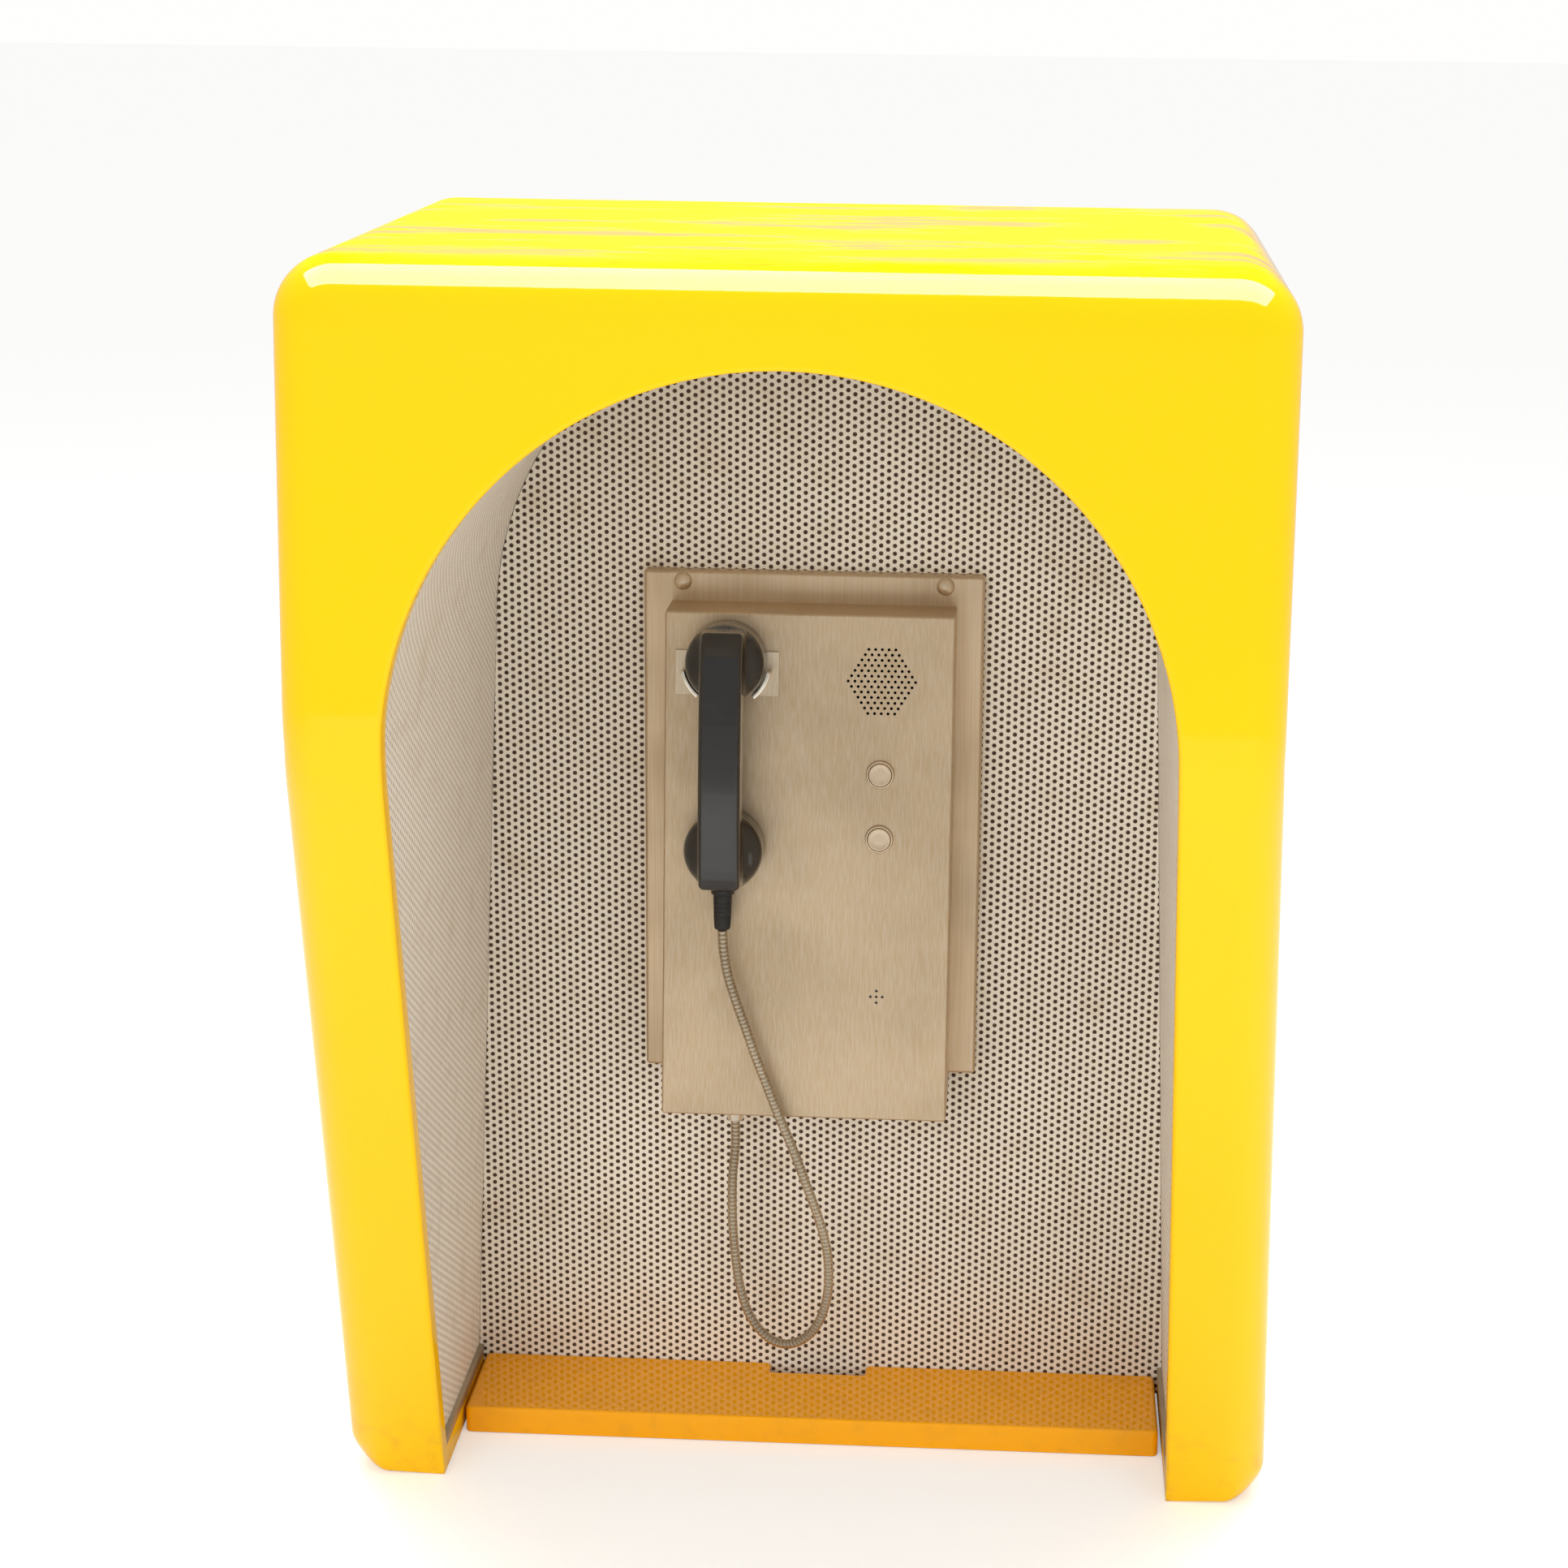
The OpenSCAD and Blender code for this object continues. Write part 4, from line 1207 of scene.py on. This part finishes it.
@dataclass
class PanelFrame:
    """Frame of the telephone's sloping panel: x across, v up the slope and n outwards."""

    centre_x: float = -8
    low_z: float = 263
    width: float = 216
    height: float = 384
    top_depth: float = 52
    low_depth: float = 84
    lining_y: float = 202.5

    @property
    def lean(self) -> float:
        """Backward lean of the panel, in radians."""
        return math.atan((self.low_depth - self.top_depth) / self.height)

    def at(self, x: float, v: float, n: float = 0.0) -> Matrix:
        """Frame at a point of the panel, with its Z axis outwards.

        Args:
            x: Across from the telephone's centre line.
            v: Up the slope from the underside.
            n: Out from the panel.

        Returns:
            A matrix in millimetres.
        """
        c, s = math.cos(self.lean), math.sin(self.lean)
        turn = Matrix(((1, 0, 0, 0), (0, s, -c, 0), (0, c, s, 0), (0, 0, 0, 1)))
        origin = Matrix.Translation((self.centre_x, self.lining_y - self.low_depth, self.low_z))
        return origin @ turn @ Matrix.Translation((x, v, n))


def from_wall(x: float, y: float, z: float) -> Matrix:
    """Frame at a point with its Z axis pointing out of the wall, towards -Y."""
    return Matrix.Translation((x, y, z)) @ Matrix.Rotation(math.pi / 2, 4, "X")


@dataclass
class Telephone:
    """Steel back plate, its screws and the wedge-shaped housing."""

    panel: PanelFrame = field(default_factory=PanelFrame)
    steel: float = 2
    plate_w: float = 257
    plate_h: float = 394
    plate_d: float = 12
    plate_rise: float = 23
    screw_dx: float = 198
    screw_head: tuple[float, float] = (6.7, 4.0)
    control_x: float = 54
    speaker_v: float = 336
    hole_dx: float = 5.0
    hole_dv: float = 4.0
    hole_r: float = 1.15
    mic_v: float = 96
    button_v: tuple[float, float] = (266, 217)
    handset_x: float = -61
    ear_v: float = 350

    @property
    def plate_z(self) -> float:
        """Underside of the back plate."""
        return self.panel.low_z + self.panel.height + self.plate_rise - self.plate_h

    def box(self, x0: float, x1: float, outline: Sequence[tuple[float, float]], name: str) -> bpy.types.Mesh:
        """A closed prism across the telephone.

        Args:
            x0: Left side.
            x1: Right side.
            outline: Corners as y and z.
            name: Name of the mesh.

        Returns:
            The mesh.
        """
        shape = Shape()
        n = len(outline)
        points = [(x, y, z) for x in (x0, x1) for y, z in outline]
        faces = [(i, (i + 1) % n, n + (i + 1) % n, n + i) for i in range(n)]
        shape.add(np.array(points), faces + [tuple(range(n)), tuple(range(2 * n - 1, n - 1, -1))])
        return shape.mesh(name)

    def open_back(self, mesh: bpy.types.Mesh, rear: float) -> None:
        """Takes away the face that lies in the rear plane.

        Args:
            mesh: Mesh in metres, changed in place.
            rear: The plane's y.
        """
        work = bmesh.new()
        work.from_mesh(mesh)
        gone = [g for g in work.faces if all(abs(v.co.y - rear * MM) < 1e-5 for v in g.verts)]
        bmesh.ops.delete(work, geom=gone, context="FACES_ONLY")
        work.to_mesh(mesh)
        work.free()

    def plate(self) -> bpy.types.Object:
        """Makes the folded back plate."""
        p = self.panel
        rear, front = p.lining_y, p.lining_y - self.plate_d
        top = self.plate_z + self.plate_h
        x0, x1 = p.centre_x - self.plate_w / 2, p.centre_x + self.plate_w / 2
        mesh = self.box(x0, x1, [(rear, self.plate_z), (front, self.plate_z), (front, top), (rear, top)], "plate")
        rounded(mesh, 2.6, lambda e: any(v.co.y < rear * MM - 1e-5 for v in e.verts), 5)
        self.open_back(mesh, rear)
        return weighted(place("back_plate", worked(mesh, None, self.steel), SATIN, ROOT, ("phone_back_plate",), 50))

    def holes(self) -> bpy.types.Mesh:
        """Cutters for the loudspeaker, microphone, buttons and hook lever."""
        shape = Shape()

        def drill(x: float, v: float, r: float, steps: int) -> None:
            ring = [(r * math.cos(a), r * math.sin(a)) for a in np.linspace(0, 2 * math.pi, steps, endpoint=False)]
            shape.prism(ring, -self.steel - 3, 3, self.panel.at(x, v))

        for row in range(-6, 7):
            count = 11 - abs(row)
            for k in range(count):
                drill(self.control_x + (k - (count - 1) / 2) * self.hole_dx, self.speaker_v + row * self.hole_dv, self.hole_r, 14)
        for dx, dv in ((0, 0), (4.5, 0), (-4.5, 0), (0, 4.5), (0, -4.5)):
            drill(self.control_x + dx, self.mic_v + dv, 1.1, 14)
        for v in self.button_v:
            drill(self.control_x, v, 9.7, 40)
        shape.prism([(-5, -14), (5, -14), (5, 2), (-5, 2)], -self.steel - 3, 3, self.panel.at(self.handset_x, self.ear_v))
        return shape.mesh("holes")

    def housing(self) -> bpy.types.Object:
        """Makes the housing with real holes in its panel."""
        p = self.panel
        rear, top = p.lining_y - self.plate_d, p.low_z + p.height
        outline = [(rear, p.low_z), (p.lining_y - p.low_depth, p.low_z), (p.lining_y - p.top_depth, top), (rear, top)]
        mesh = self.box(p.centre_x - p.width / 2, p.centre_x + p.width / 2, outline, "housing")
        rounded(mesh, 1.8, lambda e: any(v.co.y < rear * MM - 1e-5 for v in e.verts), 4)
        self.open_back(mesh, rear)
        cut = worked(mesh, self.holes(), self.steel)
        return weighted(place("housing", cut, SATIN, ROOT, ("phone_housing",), 40))

    def screws(self) -> bpy.types.Object:
        """Makes the four dome screws of the back plate."""
        shape = Shape()
        r, h = self.screw_head
        top, front = self.plate_z + self.plate_h, self.panel.lining_y - self.plate_d
        dome = [(0, -0.2), (r, -0.2), (r, 0.5)]
        dome += [(r * math.cos(a), 0.5 + (h - 0.5) * math.sin(a)) for a in np.radians(np.linspace(8, 90, 10))]
        for sign in (-1, 1):
            for z in (self.plate_z + 26, top - 8):
                shape.lathe(dome, from_wall(self.panel.centre_x + sign * self.screw_dx / 2, front, z), 40)
        return place("plate_domes", shape.mesh("plate_domes"), BUTTON, ROOT, ("plate_screws",), 50)

    def build(self) -> None:
        """Makes the plate, the housing and the screws."""
        self.plate()
        self.housing()
        self.screws()


@dataclass
class Controls:
    """Two push buttons, each a cap in a bezel."""

    panel: PanelFrame = field(default_factory=PanelFrame)
    x: float = 54
    places: tuple[tuple[str, float], ...] = (("upper_button", 266), ("lower_button", 217))
    cap_r: float = 8.7
    bezel_r: float = 10.6
    barrel_r: float = 9.6

    def build(self) -> None:
        """Makes both caps and their bezels."""
        r = self.cap_r
        cap = [(0, -14), (4, -14), (4, 0.6), (r, 0.6), (r, 2.1), (r - 0.2, 2.5), (r - 0.6, 2.75), (r - 1.1, 2.8), (r - 1.6, 2.72),
               (r - 2.2, 2.62), (r * 0.4, 2.66), (0, 2.7)]
        ring = [(r + 0.2, -2.4), (r + 0.2, 1.7), (r + 0.4, 1.95), (r + 0.7, 2.0), (self.bezel_r - 0.8, 2.0), (self.bezel_r - 0.3, 1.75),
                (self.bezel_r, 1.2), (self.bezel_r, 0.0), (self.barrel_r, 0.0), (self.barrel_r, -24), (4.2, -24), (4.2, -2.4), (r + 0.2, -2.4)]
        bezels = Shape()
        for body, v in self.places:
            frame_at = self.panel.at(self.x, v)
            shape = Shape()
            shape.lathe(cap, frame_at, 48)
            place(f"{body}_face", shape.mesh(body), BUTTON, body, (f"{body}_cap",), 40)
            bezels.lathe(ring, frame_at, 48)
        place("button_bezels", bezels.mesh("button_bezels"), BUTTON, ROOT, ("button_barrels",), 40)


@dataclass
class Cradle:
    """Two curved horns that hold the ear cup."""

    panel: PanelFrame = field(default_factory=PanelFrame)
    x: float = -61
    v: float = 350
    radius: float = 31.0
    thickness: float = 3.5
    length: float = 16.0
    base_n: float = 2.0
    sweep: tuple[float, float] = (-12.0, -52.0)

    def build(self) -> bpy.types.Object:
        """Makes the horns.

        Returns:
            The piece.
        """
        shape = Shape()
        out = self.radius + self.thickness
        for sign in (1, -1):
            angles = np.radians(np.linspace(self.sweep[0], self.sweep[1], 22))
            outline = [(sign * self.radius * math.cos(a), self.radius * math.sin(a)) for a in angles]
            outline += [(sign * out * math.cos(a), out * math.sin(a)) for a in angles[::-1]]
            shape.prism(outline, 0, self.length, self.panel.at(self.x, self.v, self.base_n))
        mesh = shape.mesh("horns")
        rounded(mesh, 0.7, lambda e: e.calc_face_angle() > 1.0, 3)
        return place("horns", mesh, POLISHED, ROOT, ("cradle_horns",), 40)


# ---- Handset -------------------------------------------------------------------------


@dataclass
class Handset:
    """Black handset: cups and handle blended into one moulding, and a boot."""

    panel: PanelFrame = field(default_factory=PanelFrame)
    x: float = -61
    ear_v: float = 350
    step: float = 141
    cup_r: float = 29.5
    cap_top: float = 13.0
    cup_back: float = 33.0
    handle_w: float = 31.0
    handle_n: float = 34.0
    handle_t: float = 22.0
    bow: float = 5.0
    edge: float = 4.0
    merge: float = 7.0
    cell: float = 1.6

    def side(self) -> np.ndarray:
        """Side outline of the handle, as v from the mouth cup's centre and n.

        Returns:
            Corner points.
        """
        s = np.linspace(0, 1, 24)
        low, high = -self.cup_r + 6, self.step + self.cup_r - 4
        rise = self.bow * (1 - (2 * s - 1) ** 2)
        outer_v = low + s * (high - low)
        outer_n = self.handle_n + self.handle_t + rise
        outer_n -= 9 * np.clip((s - 0.9) / 0.1, 0, 1) ** 2 + 5 * np.clip((0.1 - s) / 0.1, 0, 1) ** 2
        outer = np.stack([outer_v, outer_n], axis=1)
        inner_v = 16 + s * (self.step - 32)
        inner = np.stack([inner_v, self.handle_n - 3 + rise], axis=1)[::-1]
        ends_high = [(high + 1, self.handle_n - 6), (self.step - 14, self.handle_n - 9)]
        ends_low = [(16, self.handle_n - 9), (low, self.handle_n - 12)]
        return np.concatenate([outer, ends_high, inner, ends_low])

    def outline_distance(self, v: np.ndarray, n: np.ndarray) -> np.ndarray:
        """Signed distance from the handle's side outline, below 0 inside.

        Args:
            v: First coordinate of each point.
            n: Second one.

        Returns:
            Distances.
        """
        p = self.side()
        q = np.roll(p, 1, axis=0)
        best = np.full(v.shape, 1e9)
        inside = np.zeros(v.shape, bool)
        for (ax, ay), (bx, by) in zip(p, q):
            ex, ey = bx - ax, by - ay
            wx, wy = v - ax, n - ay
            t = np.clip((wx * ex + wy * ey) / (ex * ex + ey * ey), 0, 1)
            best = np.minimum(best, np.hypot(wx - ex * t, wy - ey * t))
            crossing = ((ay > n) != (by > n)) & (v < ex * (n - ay) / (ey if abs(ey) > 1e-9 else 1e-9) + ax)
            inside ^= crossing
        return np.where(inside, -best, best)

    def distance(self, p: np.ndarray) -> np.ndarray:
        """Signed distance from the moulding's surface.

        Args:
            p: Rows of x, v from the mouth cup's centre, and n.

        Returns:
            Distances, below 0 inside.
        """
        x, v, n = p[:, 0], p[:, 1], p[:, 2]
        flat = self.outline_distance(v, n) + self.edge
        across = np.abs(x) - (self.handle_w / 2 - self.edge)
        bar = np.minimum(np.maximum(flat, across), 0) + np.hypot(np.maximum(flat, 0), np.maximum(across, 0)) - self.edge
        out = bar
        for centre in (0.0, self.step):
            reach = np.hypot(x, v - centre)
            dome_r, back = 15.0, self.cup_back
            radial = reach - (self.cup_r - dome_r)
            above = n - (back - dome_r * 0.8)
            dome = np.hypot(np.maximum(radial, 0), np.maximum(above, 0) * 1.25) + np.minimum(np.maximum(radial, above), 0) - dome_r
            cup = np.maximum(dome, self.cap_top - n)
            h = np.maximum(self.merge - np.abs(out - cup), 0) / self.merge
            out = np.minimum(out, cup) - h * h * self.merge / 4
        return np.maximum(out, self.cap_top - n)

    def surface(self) -> tuple[np.ndarray, list[tuple[int, ...]]]:
        """Meshes the moulding by surface nets and settles it on the exact surface.

        Returns:
            Points and quads.
        """
        low = np.array([-self.cup_r - 4, -self.cup_r - 6, self.cap_top - 3.0])
        high = np.array([self.cup_r + 4, self.step + self.cup_r + 6, self.handle_n + self.handle_t + self.bow + 5])
        size = np.ceil((high - low) / self.cell).astype(int) + 1
        axes = [low[k] + self.cell * np.arange(size[k]) for k in range(3)]
        grid = np.stack(np.meshgrid(*axes, indexing="ij"), axis=-1)
        value = self.distance(grid.reshape(-1, 3)).reshape(size)
        inside = value < 0
        total = sum(
            inside[i : i + size[0] - 1, j : j + size[1] - 1, k : k + size[2] - 1].astype(int)
            for i in (0, 1) for j in (0, 1) for k in (0, 1)
        )
        mixed = (total > 0) & (total < 8)
        index = np.full(mixed.shape, -1)
        cells = np.argwhere(mixed)
        index[mixed] = np.arange(len(cells))
        points = low + self.cell * (cells + 0.5)
        quads: list[tuple[int, ...]] = []
        for axis in range(3):
            a, b = [k for k in range(3) if k != axis]
            ahead = np.take(inside, range(1, size[axis]), axis=axis)
            here = np.take(inside, range(size[axis] - 1), axis=axis)
            for spot in np.argwhere(ahead != here):
                if spot[a] == 0 or spot[b] == 0:
                    continue
                around = []
                for da, db in ((-1, -1), (0, -1), (0, 0), (-1, 0)):
                    cell = spot.copy()
                    cell[a] += da
                    cell[b] += db
                    around.append(int(index[tuple(cell)]))
                quads.append(tuple(around))
        return self.settle(points, quads), quads

    def settle(self, points: np.ndarray, quads: list[tuple[int, ...]]) -> np.ndarray:
        """Evens out the points and moves them onto the surface.

        Args:
            points: Starting points.
            quads: Faces between them.

        Returns:
            The settled points.
        """
        q = np.array(quads)
        edges = np.concatenate([q[:, [0, 1]], q[:, [1, 2]], q[:, [2, 3]], q[:, [3, 0]]])
        edges = np.concatenate([edges, edges[:, ::-1]])
        number = np.bincount(edges[:, 0], minlength=len(points))[:, None]

        def onto(p: np.ndarray) -> np.ndarray:
            d = self.distance(p)
            step = 0.05
            slope = np.stack([(self.distance(p + np.eye(3)[k] * step) - self.distance(p - np.eye(3)[k] * step)) / (2 * step)
                              for k in range(3)], axis=1)
            return p - slope * (d / np.maximum((slope**2).sum(axis=1), 0.25))[:, None]

        for _ in range(3):
            points = onto(points)
        for _ in range(4):
            mean = np.zeros_like(points)
            for k in range(3):
                mean[:, k] = np.bincount(edges[:, 0], weights=points[edges[:, 1], k], minlength=len(points))
            points = onto(0.5 * points + 0.5 * mean / number)
        return onto(points)

    def build(self) -> None:
        """Makes the moulding and the boot."""
        points, quads = self.surface()
        shape = Shape()
        shape.add(moved(points, self.panel.at(self.x, self.ear_v - self.step)), quads)
        place("handset_body", shape.mesh("handset_body"), BLACK, HANDSET, ("handset_grip",), 60)
        boot = [(0, -1.0), (8.7, -1.0), (8.7, 2.2), (8.3, 2.8), (7.6, 3.0), (6.9, 3.2), (7.0, 4.0)]
        for k in range(4):
            h = 8 + 3.4 * k
            r = 7.0 - (h - 4) * 0.03
            boot += [(r, h), (r - 0.12, h + 0.3), (r - 0.12, h + 0.9), (r, h + 1.2)]
        boot += [(6.1, 27.5), (5.9, 28.8), (5.4, 29.6), (4.6, 30.0), (0, 30.0)]
        frame_at = self.panel.at(self.x, self.ear_v - self.step - self.cup_r, 20) @ Matrix.Rotation(math.pi / 2, 4, "X")
        shape = Shape()
        shape.lathe(boot, frame_at, 40)
        place("boot", shape.mesh("boot"), RUBBER, HANDSET, ("handset_boot",), 50)


# ---- Everything else, and the studio -------------------------------------------------


def dress_nodes() -> None:
    """Gives each CAD node that still shows the finish of its slot."""
    special = {"speaker": CONE, "cradle_plate": CRADLE}
    slots = {name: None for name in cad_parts}
    for name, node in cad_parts.items():
        if node.hide_render:
            continue
        for held in node.material_slots:
            slot = held.material.name.split(".")[0] if held.material else "zinc_steel"
            slots[name] = slot
            held.material = material_of(special.get(name, SLOT_FINISH.get(slot, ZINC)))
    LOG.info("dressed %d CAD nodes", sum(s is not None for s in slots.values()))


@dataclass
class Studio:
    """Camera, floor and plain soft light."""

    eye: tuple[float, float, float] = (0.148, -2.071, 1.112)
    yaw: float = 3.00
    pitch: float = 13.49
    roll: float = 0.70
    lens: float = 70.51
    shift: tuple[float, float] = (-0.05, -0.05)
    ambient: float = 0.72
    mirrored: float = 0.5
    key: float = 34.0
    fill: float = 16.0
    top: float = 60.0
    band: float = 560.0

    def camera(self) -> bpy.types.Object:
        """Sets up the camera.

        Returns:
            The camera.
        """
        yaw, pitch, roll = (math.radians(a) for a in (self.yaw, self.pitch, self.roll))
        ahead = Vector((-math.sin(yaw) * math.cos(pitch), math.cos(yaw) * math.cos(pitch), -math.sin(pitch)))
        right = ahead.cross(Vector((0, 0, 1))).normalized()
        up = right.cross(ahead)
        across = right * math.cos(roll) + up * math.sin(roll)
        above = across.cross(ahead)
        data = bpy.data.cameras.new("camera")
        data.lens, data.sensor_width = self.lens, 36.0
        data.shift_x, data.shift_y = self.shift
        data.clip_start, data.clip_end = 0.05, 60.0
        made = bpy.data.objects.new("camera", data)
        made.matrix_world = Matrix.Translation(self.eye) @ Matrix((across, above, -ahead)).transposed().to_4x4()
        bpy.context.scene.collection.objects.link(made)
        bpy.context.scene.camera = made
        return made

    def lamp(
        self, name: str, at: Colour, aim: Colour, size: tuple[float, float], power: float, lit: str = "both"
    ) -> bpy.types.Object:
        """Adds one area lamp.

        Args:
            name: Its name.
            at: Where it is.
            aim: What it points at.
            size: Width and height in metres.
            power: Watts.
            lit: Whether it gives "diffuse" light, "glossy" reflections or both.

        Returns:
            The lamp.
        """
        data = bpy.data.lights.new(name, "AREA")
        data.shape, data.size, data.size_y, data.energy = "RECTANGLE", size[0], size[1], power
        made = bpy.data.objects.new(name, data)
        made.location = at
        made.rotation_euler = (Vector(aim) - Vector(at)).to_track_quat("-Z", "Y").to_euler()
        made.visible_camera = False
        made.visible_diffuse, made.visible_glossy = lit != "glossy", lit != "diffuse"
        bpy.context.scene.collection.objects.link(made)
        return made

    def world(self) -> None:
        """Sets a pale world: white to the eye and in reflections, softer as light."""
        sky = bpy.data.worlds.new("pale")
        bpy.context.scene.world = sky
        sky.use_nodes = True
        t = Tree(sky)
        seen = t.node("LightPath", {}, {}, "Is Camera Ray") + t.node("LightPath", {}, {}, "Is Transmission Ray")
        shine = t.node("LightPath", {}, {}, "Is Glossy Ray")
        level = self.ambient + seen * (1.0 - self.ambient) + shine * (self.mirrored - self.ambient)
        t.end(t.node("Background", {}, {"Color": (1.0, 0.995, 0.985), "Strength": level}))

    def floor(self) -> None:
        """Lays a large pale floor that keeps the object's soft shadow."""
        t = Tree("floor_pale")
        diffuse = t.node("BsdfDiffuse", {}, {"Color": (0.86, 0.86, 0.855)})
        seen = t.node("LightPath", {}, {}, "Is Camera Ray")
        glow = t.node("Emission", {}, {"Color": (1.0, 1.0, 1.0), "Strength": seen * 0.34})
        t.end(t.node("AddShader", {}, {0: diffuse, 1: glow}))
        mesh = bpy.data.meshes.new("floor")
        far = 40.0
        mesh.from_pydata([(-far, -far, 0), (far, -far, 0), (far, far, 0), (-far, far, 0)], [], [(0, 1, 2, 3)])
        mesh.materials.append(t.owner)
        made = bpy.data.objects.new("floor", mesh)
        made.location.z = -0.0005
        bpy.context.scene.collection.objects.link(made)
        made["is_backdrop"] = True

    def build(self, hood: bpy.types.Object) -> None:
        """Adds the lamps, the world and the floor.

        Args:
            hood: Shell on which the long lamp above shows as a white band.
        """
        self.lamp("key", (-0.9, -3.2, 1.5), (0, 0, 0.45), (1.8, 1.8), self.key, "diffuse")
        self.lamp("fill", (1.8, -2.8, 0.9), (0, 0, 0.4), (1.8, 1.6), self.fill, "diffuse")
        self.lamp("top", (0.0, 0.35, 2.4), (0.0, 0.35, 0), (3.0, 1.4), self.top, "diffuse")
        band = self.lamp("band", (0.0, -1.0, 2.65), (0.0, -1.0, 0), (4.0, 2.2), self.band, "glossy")
        shown = bpy.data.collections.new("band_shows_on")
        shown.objects.link(hood)
        band.light_linking.receiver_collection = shown
        self.world()
        self.floor()
        bpy.context.scene.view_settings.view_transform = "Standard"


def corners() -> list[list[float]]:
    """Lowest and highest corner of what shows, as plain lists."""
    return [list(c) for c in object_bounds()]


def main() -> None:
    """Builds every piece in order."""
    logging.basicConfig(level=logging.INFO, format="%(message)s")
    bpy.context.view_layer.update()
    studio = Studio()
    studio.camera()
    Cord().build()
    hood = Shell().build()
    Lining().build()
    Shelf().build()
    Telephone().build()
    Controls().build()
    Cradle().build()
    Handset().build()
    dress_nodes()
    studio.build(hood)


if __name__ == "__main__":
    main()
